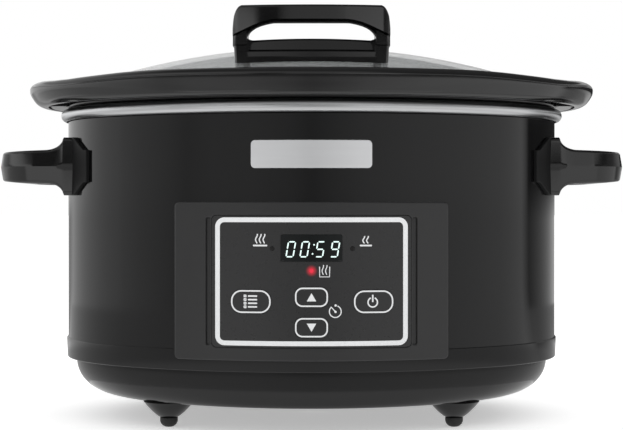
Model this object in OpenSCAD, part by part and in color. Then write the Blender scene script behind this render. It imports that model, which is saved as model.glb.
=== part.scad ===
// Countertop slow cooker: an oval body with a curved key panel, a lift-out crock and a hinged
// glass lid. The front faces -Y, the rear hinge is at +Y and the feet stand on z = 0.

/* [Body] */
// Width of the outer wrap
body_w = 336.6; // [310:1:400]
// Depth of the outer wrap
body_d = 270; // [256:1:290]
// Height of the top of the wrap above the table
wrap_top = 201; // [195:1:240]
// Height of the lower edge of the trim band
band_bottom = 40.7; // [38:0.1:44]
// Height of the trim band
band_h = 13.3; // [10:0.1:18]
// Height of the underside of the base pan
pan_bottom = 17; // [14:1:20]
// Thickness of the painted sheet
sheet_t = 1.2; // [0.8:0.1:1.5]

/* [Feet] */
// Distance of a foot from the body's end
foot_inset_x = 76; // [74:1:90]
// Distance of a foot from the body's front or rear
foot_inset_y = 60; // [58:1:72]
// Diameter of a rubber pad
foot_d = 12; // [10:0.5:16]

/* [Side handles] */
// Reach of a side handle beyond the wrap
handle_reach = 41.6; // [36:0.1:60]
// Height of the middle of a side grip
grip_z = 169.1; // [160:0.1:174]
// Thickness of a side grip in plan
grip_t = 16; // [13:1:18]
// Half width of a handle loop, front to back
arm_half = 52; // [48:1:60]

/* [Crock] */
// Gap between the crock and the heating well
crock_gap = 3.5; // [2:0.5:6]
// Thickness of the stoneware
crock_t = 7; // [5:0.5:9]
// Height of the inside floor of the crock
crock_floor = 81; // [79:1:95]

/* [Lid] */
// Overhang of the lid rim at each end of the wrap
lid_over_x = 26.5; // [24:0.5:32]
// Overhang of the lid rim at the front and rear of the wrap
lid_over_y = 10.5; // [9:0.5:14]
// Rise of the glass dome above its edge
dome_rise = 25; // [18:1:32]
// Thickness of the glass
glass_t = 4.5; // [3:0.5:6]
// Width of the lid handle
lid_handle_w = 100; // [86:1:110]

/* [Key panel] */
// Width of the bezel across its curve
bezel_w = 170; // [160:1:176]
// Height of the bezel
bezel_h = 97.3; // [94:0.1:104]
// Travel of a key
key_travel = 0.8; // [0.4:0.1:1]

/* [Hinge and fits] */
// Diameter of the hinge pin
hinge_pin_d = 4; // [3:0.5:5]
// Radial clearance of a running fit
running_gap = 0.06; // [0.02:0.01:0.1]
// Clearance between pieces that move past each other
move_gap = 0.3; // [0.3:0.05:0.6]
// Clearance between fixed pieces that nest
fit_gap = 0.1; // [0.05:0.05:0.2]

/* [Hidden] */
$fn = 96;

// Plan outlines are four-arc ovals, written [half width, half depth]. The arc centres lie on a
// 3-4-5 triangle, so that each end arc runs smoothly into its long arcs.
body = [body_w/2, body_d/2];
lid = body + [lid_over_x, lid_over_y];
dome = lid - [42.8, 31.5];
join = [0.6, 0.8];

// Distance between the two arc centres, and from it their places and radii.
function spread(o) = round(50*(o[0] - o[1]))/20;
function end_c(o) = spread(o)*join[0];
function side_c(o) = spread(o)*join[1];
function end_r(o) = o[0] - end_c(o);
function side_r(o) = end_r(o) + spread(o);

// Distance from the long axis of an oval to its side arc, grown by d, at place x.
function side_y(o, x, d=0) = sqrt(pow(side_r(o) + d, 2) - x*x) - side_c(o);

// Points on an arc of an ellipse about [x, y].
function arc(x, y, rx, ry, a0, a1, n) =
  [for (i = [0:n]) let (a = a0 + (a1 - a0)*i/n) [x + rx*cos(a), y + ry*sin(a)]];

// Heights
band_top = band_bottom + band_h;
collar_h = 7.3;
collar_top = wrap_top + collar_h;
flange_z = collar_top + move_gap;
flange_t = 5.7;
flange_top = flange_z + flange_t;
lid_bottom = flange_z + 1.4;
lid_rib_z = flange_top + move_gap;
lid_top = lid_bottom + 17.5;
dome_top = lid_top - 1.2 + dome_rise;
pan_t = 2.5;
pan_floor = pan_bottom + pan_t;

// Offsets from the wrap's outside, negative inward
collar_out = 4.8;
well_t = 1;
well_out = -17.5;
well_in = well_out - well_t;
crock_out = well_in - crock_gap;
crock_in = crock_out - crock_t;
well_floor = crock_floor - 8 - 1;
pan_wall = -5.7;

// Glass dome: the radii of its two curves
dome_rx = (dome[0]*dome[0] + dome_rise*dome_rise) / (2*dome_rise);
dome_ry = (dome[1]*dome[1] + dome_rise*dome_rise) / (2*dome_rise);

// Hinge
hinge_y = lid[1] + 10.5;
hinge_z = lid_bottom + 2;
knuckle_r = hinge_pin_d/2 + 3;
knuckle_half = 19;
ear_t = 5;
hinge_rear = hinge_y + knuckle_r + 0.5;
tongue_half = 18;
tongue_t = 5.6;
tongue_y = body[1] + 10;
tongue_low = wrap_top - 34;
socket_top = wrap_top - 1.5;

// The frame's origin is below the middle of the whole cooker.
frame_shift_y = (lid[1] - hinge_rear) / 2;

// Key panel
bezel_bottom = band_top - 6.1;
bezel_mid = bezel_bottom + bezel_h/2;
bezel_proud = 2.8;
overlay_half = 61.3;
overlay_h = 80.6;
overlay_t = 0.5;
overlay_back = bezel_proud - overlay_t + 0.05;
window_half = 62;
window_h = 78;
slot_x = 63.3;
slot_w = 2;
board_y = -(side_y(body, 0) - 11);
board_t = 1.6;
board_half = 56;
board_h = 74;
boss_x = 50;
boss_dz = 31;
key_front = 3.5;
key_back = -1.9;
key_face = -(side_y(body, 0) - 6.2);
tact_face = key_face + key_travel + 0.6;
// Keys: [x, height above the panel's middle, width, height, corner radius]
menu_key = [-37.1, -12.2, 24.4, 14, 6.5];
up_key = [0, -9.4, 20.1, 11.8, 4.6];
down_key = [0, -27.9, 20.1, 11.8, 4.6];
power_key = [38, -12.3, 24.2, 13.8, 6.2];
keys = [menu_key, up_key, down_key, power_key];
display = [0, 20.5, 37.4, 16.5];
lens_r = 1.35;
lenses = [[0, 6.7], [-24, 20.2], [25, 20.2]];
badge_w = 74.3;
badge_h = 17.2;
badge_z = wrap_top - 26.5;
badge_peg_x = 28;

// Screws of the handles and the board
screw_r = 2;
handle_screw_a = asin((arm_half - grip_t/2 - 2.5) / end_r(body));
small_screw_r = 1.2;

// Power board in the base
power_board_x = 50;
power_board_y = [30, 90];
power_board_z = pan_floor + 7.5;
power_board_top = power_board_z + 1.6;

// ---------------------------------------------------------------- shared shapes

// Moves a piece from the body's centre to the frame's origin.
module in_frame() {
  translate([0, frame_shift_y, 0]) children();
}

// Filled oval, grown by d.
module oval_area(o, d=0) {
  join_x = end_c(o) + (end_r(o) + d)*join[0];
  big = 4*o[0];
  intersection() {
    translate([0, -side_c(o)]) circle(side_r(o) + d);
    translate([0, side_c(o)]) circle(side_r(o) + d);
    square([2*join_x, big], center=true);
  }
  for (s = [-1, 1]) intersection() {
    translate([s*end_c(o), 0]) circle(end_r(o) + d);
    translate([s*(join_x + big/2), 0]) square([big, big], center=true);
  }
}

module oval_plate(o, z0, z1, d=0) {
  translate([0, 0, z0]) linear_extrude(z1 - z0) oval_area(o, d);
}

// Upright wedge from an arc centre, out to either side of the axis.
module wedge(apex, along_x) {
  far = 700;
  side = along_x ? [join[0], -join[1]] : [-join[0], join[1]];
  translate([0, 0, -far/2]) linear_extrude(far) polygon([apex, apex + far*side, apex + far*join]);
}

// Sweeps a section round an oval. The section's x is the offset from the oval, y the height.
module oval_sweep(o) {
  for (s = [0, 180]) rotate(s) {
    intersection() {
      translate([end_c(o), 0, 0]) rotate_extrude() translate([end_r(o), 0]) children();
      wedge([end_c(o), 0], true);
    }
    intersection() {
      translate([0, -side_c(o), 0]) rotate_extrude() translate([side_r(o), 0]) children();
      wedge([0, -side_c(o)], false);
    }
  }
}

module band_ring(o, d0, d1, z0, z1) {
  oval_sweep(o) translate([d0, z0]) square([d1 - d0, z1 - z0]);
}

module rounded_rect(w, h, r) {
  square([w - 2*r, h], center=true);
  square([w, h - 2*r], center=true);
  for (x = [-1, 1], y = [-1, 1]) translate([x*(w/2 - r), y*(h/2 - r)]) circle(r);
}

// Upright prism through the front of the body, at x and z.
module front_prism(x, z, w, h, r) {
  translate([x, -body[1] + 30, z]) rotate([90, 0, 0]) linear_extrude(60) rounded_rect(w, h, r);
}

// Cylinder along Y from y0 to y1.
module y_rod(x, z, y0, y1, r) {
  translate([x, y1, z]) rotate([90, 0, 0]) cylinder(h=y1 - y0, r=r);
}

// Cylinder along X from x0 to x1.
module x_rod(x0, x1, y, z, r) {
  translate([x0, y, z]) rotate([0, 90, 0]) cylinder(h=x1 - x0, r=r);
}

// Shell that follows the front arc, between two offsets from the wrap.
module front_shell(d0, d1, z0, z1) {
  translate([0, side_c(body), 0]) rotate_extrude(start=-90 - 28, angle=56)
    translate([side_r(body) + d0, z0]) square([d1 - d0, z1 - z0]);
}

// Piece of the front shell with a rounded outline.
module front_pad(p, grow, r, d0, d1) {
  intersection() {
    front_shell(d0, d1, bezel_bottom - 5, wrap_top);
    front_prism(p[0], bezel_mid + p[1], p[2] + grow, p[3] + grow, r);
  }
}

// ---------------------------------------------------------------- body

module outer_wrap() {
  color("#141416") in_frame() difference() {
    oval_sweep(body) polygon([
      [0, band_bottom + 1.6], [0, wrap_top], [-9, wrap_top],
      [-9, wrap_top - sheet_t], [-sheet_t, wrap_top - sheet_t], [-sheet_t, band_bottom + 1.6]
    ]);
    front_prism(0, bezel_mid, 2*window_half, window_h, 4);
    for (x = [-1, 1]) front_prism(x*badge_peg_x, badge_z, 2.8, 2.8, 1.39);
    handle_screw_places() cylinder(h=30, r=screw_r + fit_gap, center=true);
    for (x = [-1, 1]) y_rod(x*13, tongue_low + 2, body[1] - 10, body[1] + 5, 1.6);
    y_rod(0, gland_z, body[1] - 10, body[1] + 5, gland_r + fit_gap);
  }
}

module base_trim_band() {
  color("#19191b") in_frame() oval_sweep(body) polygon(concat(
    [[fit_gap, band_top], [0.7, band_top], [1, band_top - 0.4]],
    arc(-0.5, band_bottom + 1.5, 1.5, 1.5, 0, -90, 4),
    [[pan_wall + fit_gap, band_bottom], [pan_wall + fit_gap, band_bottom + 1.5],
     [fit_gap, band_bottom + 1.5]]
  ));
}

vent_pitch = 9;
vent_front_y = -65;
vent_side_x = 49.5;
post_in = 6;

// Outside of the pan, inset by d all round.
function pan_curve(d) =
  arc(pan_wall - 25, pan_bottom + 22, 25 - d, 22 - d, 0, -90, 10);

module base_pan() {
  rim_z = band_bottom + 1.6;
  color("#1d1d1f") in_frame() difference() {
    union() {
      oval_sweep(body) polygon(concat(
        [[pan_wall, rim_z + 4]], pan_curve(0),
        [[pan_wall - 32, pan_bottom], [pan_wall - 32, pan_floor]],
        [for (i = [10:-1:0]) pan_curve(pan_t)[i]],
        [[pan_wall - pan_t, rim_z + 4]]
      ));
      oval_sweep(body) polygon([
        [-sheet_t - fit_gap, rim_z], [-sheet_t - fit_gap, rim_z + 2],
        [pan_wall - 1, rim_z + 2], [pan_wall - 1, rim_z]
      ]);
      oval_plate(body, pan_bottom, pan_floor, pan_wall - 31);
      feet_places() foot_cone();
      power_board_spots(pan_floor - 0.5) cylinder(h=power_board_z - pan_floor + 0.5, r=4);
    }
    feet_places() translate([0, 0, 5]) cylinder(h=foot_stem_h + 1.5, r=foot_stem_r + fit_gap);
    translate([0, 0, pan_bottom - 5]) cylinder(h=20, r=stud_r + fit_gap);
    power_board_spots(pan_floor + 1) cylinder(h=20, r=small_screw_r + 0.05);
    for (i = [-4:4]) translate([i*vent_pitch, vent_front_y, pan_bottom - 1]) vent_slot();
    for (s = [-1, 1], i = [0:3])
      translate([s*(vent_side_x + i*vent_pitch), 0, pan_bottom - 1]) vent_slot();
  }
}

module vent_slot() {
  linear_extrude(pan_t + 2) rounded_rect(3, 32, 1.49);
}

foot_top_r = 16.6;
foot_low_r = 6.5;
foot_low_z = 6.3;
foot_stem_r = 3;
foot_stem_h = 9;

module feet_places() {
  for (x = [-1, 1], y = [-1, 1])
    translate([x*(body[0] - foot_inset_x), y*(body[1] - foot_inset_y), 0]) children();
}

// Moulded foot: a bowl that narrows down to the rubber pad.
module foot_cone() {
  rotate_extrude() polygon(concat(
    [[0, pan_bottom + 1], [foot_top_r, pan_bottom + 1]],
    arc(foot_low_r + 1, pan_bottom, foot_top_r - foot_low_r - 1, pan_bottom - foot_low_z,
        0, -90, 7),
    [[foot_low_r, foot_low_z], [0, foot_low_z]]
  ));
}

module rubber_feet() {
  color("#0c0c0d") in_frame() feet_places() {
    rotate_extrude() polygon(concat(
      [[0, 0], [foot_d/2 - 1.8, 0]],
      arc(foot_d/2 - 1.8, 2.6, 1.8, 2.6, -90, 0, 5),
      arc(foot_d/2 - 1.8, 2.6, 1.8, foot_low_z - 2.65, 0, 90, 5),
      [[foot_stem_r, foot_low_z - 0.05], [foot_stem_r, foot_low_z + foot_stem_h - 2],
       [0, foot_low_z + foot_stem_h - 2]]
    ));
  }
}

module top_collar() {
  bead_r = collar_h/2 + 0.5;
  bead_x = collar_out - bead_r;
  bead_z = collar_top - bead_r;
  metal = 0.8;
  color("#b9bbbd") in_frame() oval_sweep(body) polygon(concat(
    [[-14, wrap_top + well_t + 0.05], [-14, collar_top]],
    arc(bead_x, bead_z, bead_r, bead_r, 90, -82, 14),
    [for (i = [14:-1:0]) arc(bead_x, bead_z, bead_r - metal, bead_r - metal, 90, -82, 14)[i]],
    [[-14 + metal, collar_top - metal], [-14 + metal, wrap_top + well_t + 0.05]]
  ));
}

well_round = 12;

module heating_well() {
  low = well_floor;
  color("#9a9c9e") in_frame() difference() {
    union() {
      oval_sweep(body) polygon(concat(
        [[-5, wrap_top], [-5, wrap_top + well_t], [well_in, wrap_top + well_t]],
        arc(well_in - well_round, low + well_t + well_round, well_round, well_round, 0, -90, 8),
        [[well_in - well_round - 2, low + well_t], [well_in - well_round - 2, low]],
        [for (i = [8:-1:0])
          arc(well_in - well_round, low + well_t + well_round,
              well_round + well_t, well_round + well_t, 0, -90, 8)[i]],
        [[well_out, wrap_top]]
      ));
      oval_plate(body, low, low + well_t, well_in - well_round - 1);
    }
    translate([sensor_x, 0, low - 2]) cylinder(h=5, r=sensor_r + fit_gap);
  }
}

heater_z = 86;
heater_h = 26;
heater_t = 2;

module heating_band() {
  color("#c9b27a") in_frame()
    oval_sweep(body) translate([well_out + fit_gap, heater_z]) square([heater_t, heater_h]);
}

fuse_z = heater_z + heater_h/2;
fuse_r = 2.5;
fuse_y = side_y(body, 0) + well_out + fit_gap + heater_t + fit_gap + fuse_r;

module thermal_fuse() {
  color("#d8d2c4") in_frame() {
    x_rod(-10, 10, fuse_y, fuse_z, fuse_r);
    for (x = [-1, 1]) x_rod(min(x*9, x*14), max(x*9, x*14), fuse_y, fuse_z, 1.2);
  }
}

sensor_x = -55;
sensor_r = 8;

// Spring-loaded sensor cap under the floor of the well.
module temperature_sensor() {
  color("#8e9094") in_frame() translate([sensor_x, 0, 0]) {
    translate([0, 0, well_floor - 1]) cylinder(h=1.9, r=sensor_r);
    translate([0, 0, well_floor - 3]) cylinder(h=2.95, r=sensor_r + 3);
    translate([0, 0, well_floor - 9]) cylinder(h=7, r=5);
  }
}

stud_r = 3;

module centre_stud() {
  color("#a8aaad") in_frame() {
    translate([0, 0, pan_bottom - 5.5]) cylinder(h=well_floor - pan_bottom + 5.5 - 0.05, r=stud_r);
    translate([0, 0, pan_floor + 0.05]) cylinder(h=2, r=7);
    translate([0, 0, well_floor - 2.05]) cylinder(h=2, r=11);
  }
}

module centre_nut() {
  color("#8a8c8f") in_frame() translate([0, 0, pan_bottom - 5]) difference() {
    cylinder(h=4.9, r=6.4, $fn=6);
    translate([0, 0, -1]) cylinder(h=7, r=stud_r + 0.05);
  }
}

// ---------------------------------------------------------------- side handles

tip_x = body[0] + handle_reach;
arm_corner = 26;
arm_bore = 10;
flare_half_h = 19.2;
pad_t = 2.5;
// Root pads sit on the end arc of the wrap between these angles.
pad_angles = [14, 40];

// Front outline of a handle: level grip, flared root, and the pad's tail along the wrap. Its
// heights are counted from the middle of the grip.
root_in = 10.3;

module handle_outline() {
  root = body[0] - root_in;
  translate([0, grip_z]) polygon(concat(
    [[root - 16, 9.4], [root - 8.8, 10.3], [root - 1, flare_half_h - 1], [root, flare_half_h],
     [root + 6.7, flare_half_h]],
    arc(root + 18.9, flare_half_h, 12.2, 8.3, 180, 270, 7),
    arc(tip_x - 3.4, 0, 3.4, 9.5, 80, -80, 8),
    arc(root + 17, -flare_half_h, 10.4, 7.9, 90, 180, 7),
    [[root - 1, -flare_half_h], [root - 2, -flare_half_h + 1], [root - 8.8, -10.8],
     [root - 16, -10.5]]
  ));
}

// Half of a rounded strip that reaches from the body's middle to x, y wide to either side.
module handle_strip(x, y, r) {
  translate([0, -y]) square([x - r, 2*y]);
  translate([0, r - y]) square([x, 2*(y - r)]);
  for (s = [-1, 1]) translate([x - r, s*(y - r)]) circle(r);
}

module handle_plan() {
  difference() {
    handle_strip(tip_x, arm_half, arm_corner);
    handle_strip(tip_x - grip_t, arm_half - grip_t, arm_bore);
  }
  for (s = [-1, 1]) intersection() {
    translate([end_c(body), 0]) circle(end_r(body) + pad_t);
    translate([end_c(body), 0]) polygon([
      [0, 0], [300*cos(pad_angles[0]), s*300*sin(pad_angles[0])],
      [300*cos(pad_angles[1]), s*300*sin(pad_angles[1])]
    ]);
  }
}

// Screw places on the right side, with the axis along the wrap's normal.
module handle_screw_spots() {
  for (s = [-1, 1]) translate([end_c(body), 0, grip_z]) rotate([0, 90, s*handle_screw_a])
    translate([0, 0, end_r(body)]) children();
}

module handle_screw_places() {
  handle_screw_spots() children();
  mirror([1, 0, 0]) handle_screw_spots() children();
}

module side_handle() {
  difference() {
    intersection() {
      translate([0, 0, grip_z - 30]) linear_extrude(60) handle_plan();
      translate([0, 120, 0]) rotate([90, 0, 0]) linear_extrude(240) handle_outline();
    }
    oval_plate(body, grip_z - 40, grip_z + 40, fit_gap);
    handle_screw_spots() translate([0, 0, -2]) cylinder(h=14.5, r=screw_r + 0.05);
  }
}

module right_handle() {
  color("#101012") in_frame() side_handle();
}

module left_handle() {
  color("#101012") in_frame() mirror([1, 0, 0]) side_handle();
}

module side_handle_screws() {
  color("#a0a2a5") in_frame() handle_screw_places() {
    translate([0, 0, -sheet_t - 1]) cylinder(h=sheet_t + 12, r=screw_r);
    translate([0, 0, -sheet_t - 2.8]) cylinder(h=2.3, r=4);
  }
}

// ---------------------------------------------------------------- key panel

module control_bezel() {
  mid = bezel_mid;
  color("#2b2c2e") in_frame() difference() {
    union() {
      front_pad([0, 0, bezel_w, bezel_h], 0, 3, 1.1, bezel_proud - 0.8);
      front_pad([0, 0, bezel_w - 1.6, bezel_h - 1.6], 0, 2.4, 1.1, bezel_proud);
      intersection() {
        front_shell(fit_gap, 1.5, band_top + 0.3, bezel_bottom + bezel_h - 1);
        front_prism(0, mid, bezel_w - 1, bezel_h, 1);
      }
      for (x = [-1, 1], z = [-1, 1])
        y_rod(x*boss_x, mid + z*boss_dz, wrap_front(x*boss_x) - 2.2, board_y - board_t/2, 3);
      for (x = [-1, 1]) bezel_clip(x);
    }
    front_pad([0, 0, 2*overlay_half + 0.2, overlay_h + 0.2], 0, 3, overlay_back - 0.05, 6);
    for (k = keys) front_pad(k, 2*move_gap, k[4] + move_gap, -6, 6);
    front_pad(display, 0.1, 1, -6, 6);
    for (l = lenses) y_rod(l[0], mid + l[1], -body[1] - 12, board_y, lens_r + 0.05);
    for (x = [-1, 1]) front_pad([x*slot_x, 0, slot_w, overlay_h - 2.6], 0, 0.9, 1.3, 6);
    for (x = [-1, 1], z = [-1, 1])
      y_rod(x*boss_x, mid + z*boss_dz, wrap_front(x*boss_x) - 1, board_y + 4, small_screw_r + 0.05);
  }
}

// Y of the wrap's front face at x.
function wrap_front(x) = -side_y(body, x);

clip_w = 14;
clip_t = 1.8;

// Clip at one side of the panel's opening, with a barb behind the wrap's edge.
module bezel_clip(s) {
  edge = window_half - 0.4;
  inside = -side_y(body, window_half, -sheet_t) + fit_gap;
  start = wrap_front(window_half) - 1.5;
  translate([s*(edge - clip_t/2), 0, bezel_mid - clip_w/2]) {
    translate([-clip_t/2, start, 0]) cube([clip_t, inside + 2.5 - start, clip_w]);
    translate([min(0, s*3), inside + 0.6, 0]) cube([3, 1.9, clip_w]);
  }
}

module keypad_overlay() {
  color("#242527") in_frame() difference() {
    front_pad([0, 0, 2*overlay_half, overlay_h], 0, 2.9, overlay_back, overlay_back + overlay_t);
    for (k = keys) front_pad(k, 2*move_gap + 0.1, k[4] + move_gap, -6, 6);
    front_pad(display, 0.1, 1, -6, 6);
    for (l = lenses) y_rod(l[0], bezel_mid + l[1], -body[1] - 12, board_y, lens_r + 0.05);
  }
}

module display_window() {
  color("#0a0b0d") in_frame() front_pad(display, 0, 0.9, 0.4, bezel_proud + 0.1);
}

module display_module() {
  color("#d7d9da") in_frame()
    translate([-17, wrap_front(17) + 0.05, bezel_mid + display[1] - 7.5])
      cube([34, board_y - board_t/2 - 0.05 - wrap_front(17), 15]);
}

module indicator_lenses() {
  color("#5a1512") in_frame() for (l = lenses)
    y_rod(l[0], bezel_mid + l[1], -side_y(body, l[0], bezel_proud + 0.1), board_y - board_t/2 - 0.05,
          lens_r);
}

module control_board() {
  color("#1f6b3c") in_frame() difference() {
    translate([0, board_y, bezel_mid]) cube([2*board_half, board_t, board_h], center=true);
    for (x = [-1, 1], z = [-1, 1])
      y_rod(x*boss_x, bezel_mid + z*boss_dz, board_y - 2, board_y + 2, small_screw_r + fit_gap);
  }
}

module tact_switches() {
  low = board_y - board_t/2 - 0.02;
  color("#2a2a2c") in_frame() for (k = keys) {
    translate([k[0] - 3, tact_face + 1, bezel_mid + k[1] - 3]) cube([6, low - tact_face - 1, 6]);
    y_rod(k[0], bezel_mid + k[1], tact_face, low, 1.7);
  }
}

module board_screws() {
  face = board_y + board_t/2 + 0.02;
  color("#a8aaad") in_frame() for (x = [-1, 1], z = [-1, 1]) {
    y_rod(x*boss_x, bezel_mid + z*boss_dz, face, face + 1.8, 2.6);
    y_rod(x*boss_x, bezel_mid + z*boss_dz, board_y - board_t/2 - 3.5, face + 1, small_screw_r);
  }
}

// Key cap with a flange behind the bezel and a post towards its switch.
module key(k) {
  in_frame() {
    front_pad(k, 0, k[4], key_back, key_front);
    front_pad(k, 3, k[4] + 1.5, key_back, -0.4);
    y_rod(k[0], bezel_mid + k[1], -side_y(body, abs(k[0]), key_back) - 0.5, key_face, 2.2);
  }
}

module menu_button() {
  color("#2e2f32") key(menu_key);
}

module up_button() {
  color("#2e2f32") key(up_key);
}

module down_button() {
  color("#2e2f32") key(down_key);
}

module power_button() {
  color("#2e2f32") key(power_key);
}

module nameplate() {
  color("#c3c5c8") in_frame() {
    front_pad([0, badge_z - bezel_mid, badge_w, badge_h], 0, 2.6, fit_gap, 1.5);
    for (x = [-1, 1])
      y_rod(x*badge_peg_x, badge_z, wrap_front(badge_peg_x) - 0.8, wrap_front(badge_peg_x) + 4, 1.25);
  }
}

// ---------------------------------------------------------------- electrics in the base

// Places of the power board's screws, at height z.
module power_board_spots(z) {
  for (x = [-1, 1], y = [0, 1])
    translate([x*(power_board_x - post_in), power_board_y[y] + (y ? -1 : 1)*post_in, z])
      children();
}

module power_board() {
  color("#246e42") in_frame() difference() {
    translate([-power_board_x, power_board_y[0], power_board_z + 0.02])
      cube([2*power_board_x, power_board_y[1] - power_board_y[0], 1.56]);
    power_board_spots(power_board_z - 1) cylinder(h=4, r=small_screw_r + fit_gap);
  }
}

module power_board_screws() {
  color("#a8aaad") in_frame() power_board_spots(power_board_z) {
    translate([0, 0, 1.6]) cylinder(h=1.8, r=2.6);
    translate([0, 0, -6]) cylinder(h=8, r=small_screw_r);
  }
}

module on_power_board(x, y, w, d, h) {
  translate([x - w/2, y - d/2, power_board_top]) cube([w, d, h]);
}

module relay() {
  color("#2c5f9e") in_frame() on_power_board(-27, 58, 19, 15.5, 15);
}

module transformer() {
  color("#6b4a1f") in_frame() {
    on_power_board(20, 52, 26, 16, 20);
    on_power_board(20, 52, 18, 26, 14);
  }
}

terminal_h = 11;

module terminal_block() {
  color("#3a7a52") in_frame() on_power_board(0, 78, 30, 9, terminal_h);
}

gland_z = band_top + 12;
gland_r = 6.5;

// Empty cord inlet: a flanged bush in the rear of the wrap.
module cord_gland() {
  face = body[1];
  color("#111113") in_frame() difference() {
    union() {
      y_rod(0, gland_z, face - 7, face + 3, gland_r);
      difference() {
        y_rod(0, gland_z, face - 1, face + 3, gland_r + 3);
        oval_plate(body, gland_z - 15, gland_z + 15, fit_gap, $fn=720);
      }
    }
    y_rod(0, gland_z, face - 8, face + 4, 3.6);
  }
}

// One wire through a list of points, with a round bend at each. The runs stop inside the bends.
module wire(points, r) {
  for (i = [0:len(points) - 2]) {
    run = points[i + 1] - points[i];
    start = i > 0 ? 0.2*r : 0;
    end = i < len(points) - 2 ? 0.2*r : 0;
    translate(points[i]) rotate([0, acos(run[2]/norm(run)), atan2(run[1], run[0])])
      translate([0, 0, start]) cylinder(h=norm(run) - start - end, r=r);
    if (i > 0) translate(points[i]) sphere(1.06*r);
  }
}

wire_r = 1.5;

module wiring_harness() {
  block_top = power_board_top + terminal_h + 0.05;
  rear = side_y(body, 0);
  front = -side_y(body, 30);
  low = well_floor - 9;
  color("#b8402f") in_frame() {
    for (x = [-1.8, 1.8])
      wire([[x, rear - 9.5, gland_z], [x, rear - 14, gland_z - 2], [x*2, 92, 52],
            [x*3, 78, block_top + 6], [x*3, 78, block_top]], wire_r);
    wire([[14.6, fuse_y, fuse_z], [22, fuse_y + 1, fuse_z - 4], [24, fuse_y + 2, well_floor + 4],
          [22, 112, low - 2], [12, 78, block_top + 6], [12, 78, block_top]], wire_r);
    wire([[-30, 36, power_board_top + 0.05], [-30, 36, power_board_top + 7], [-30, -20, low - 24],
          [-30, -90, low - 22], [-30, front + 16, low - 10],
          [-30, board_y + board_t/2 + 1.7, bezel_mid - 28],
          [-30, board_y + board_t/2 + 1.7, bezel_mid - 20]], wire_r);
    wire([[sensor_x, 0, low - 0.05], [sensor_x, 0, low - 6], [-46, 44, power_board_top + 8],
          [-46, 44, power_board_top + 0.05]], wire_r);
  }
}

// ---------------------------------------------------------------- crock

lug_reach = lid[0] - 8;
lug_half = 38;

module stoneware_crock() {
  top = flange_top;
  round_out = 14;
  round_in = 10;
  low = crock_floor - 8;
  color("#1b1b1d") in_frame() {
    oval_sweep(body) polygon(concat(
      [[crock_in - 12, crock_floor], [crock_in - 12, low]],
      arc(crock_out - round_out, low + round_out, round_out, round_out, -90, 0, 7),
      [[crock_out, flange_z - 3], [crock_out + 3, flange_z]],
      arc(-1.2, flange_z + 2.2, 2.2, 2.2, -90, 0, 4),
      arc(-1.5, top - 2.5, 2.5, 2.5, 0, 90, 4),
      arc(crock_in + 4, top - 4, 4, 4, 90, 180, 4),
      arc(crock_in - round_in, crock_floor + round_in, round_in, round_in, 0, -90, 6)
    ));
    oval_plate(body, low, crock_floor, crock_in - 11);
    crock_lugs(flange_z + 1.2, top - 0.6);
  }
}

// Lifting lugs at both ends of the rim, cut to follow the inside of the lid's rim.
module crock_lugs(z0, z1) {
  for (s = [-1, 1]) difference() {
    intersection() {
      translate([s*(lug_reach + body[0] - 12)/2, 0, z0]) linear_extrude(z1 - z0)
        rounded_rect(lug_reach - body[0] + 12, 2*lug_half, 10);
      oval_plate(lid, z0 - 1, z1 + 1, lug_reach - lid[0]);
    }
    oval_plate(body, z0 - 2, z1 + 2, -4);
  }
}

// ---------------------------------------------------------------- hinge

module hinge_socket() {
  wall = 2.2;
  color("#151517") in_frame() difference() {
    translate([-tongue_half - 6, body[1] - 6, tongue_low - 8])
      cube([2*tongue_half + 12, tongue_y + tongue_t/2 + wall + move_gap - body[1] + 6,
            socket_top - tongue_low + 8]);
    oval_plate(body, tongue_low - 10, socket_top + 2, fit_gap);
    translate([-tongue_half - move_gap, tongue_y - tongue_t/2 - move_gap, tongue_low - move_gap])
      cube([2*(tongue_half + move_gap), tongue_t + 2*move_gap, 60]);
    for (x = [-1, 1]) y_rod(x*13, tongue_low + 2, body[1] - 10, tongue_y - tongue_t/2 - 1.5, 1.55);
  }
}

module hinge_socket_screws() {
  inside = side_y(body, 15, -sheet_t) - 0.1;
  color("#a0a2a5") in_frame() for (x = [-1, 1]) {
    y_rod(x*13, tongue_low + 2, inside - 2, inside, 3.2);
    y_rod(x*13, tongue_low + 2, inside - 1, body[1] + 4.5, 1.5);
  }
}

// Block that drops into the socket and carries the hinge pin between two ears.
module hinge_block() {
  plate_z = socket_top + move_gap;
  plate_t = 5;
  ear_out = knuckle_half + move_gap + ear_t;
  color("#151517") in_frame() difference() {
    union() {
      translate([-tongue_half, tongue_y - tongue_t/2, tongue_low])
        cube([2*tongue_half, tongue_t, plate_z - tongue_low + 1]);
      translate([-ear_out, tongue_y - tongue_t/2, plate_z])
        cube([2*ear_out, hinge_rear - tongue_y + tongue_t/2, plate_t]);
      for (s = [-1, 1]) translate([s*(ear_out - ear_t/2), 0, 0]) {
        x_rod(-ear_t/2, ear_t/2, hinge_y, hinge_z, knuckle_r + 0.5);
        translate([-ear_t/2, hinge_y - knuckle_r - 0.5, plate_z + 1])
          cube([ear_t, 2*knuckle_r + 1, hinge_z - plate_z - 1]);
      }
    }
    x_rod(-40, 40, hinge_y, hinge_z, hinge_pin_d/2 + running_gap/3);
  }
}

module hinge_pin() {
  reach = knuckle_half + move_gap + ear_t + 0.5;
  color("#b4b6b9") in_frame() x_rod(-reach, reach, hinge_y, hinge_z, hinge_pin_d/2);
}

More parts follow.
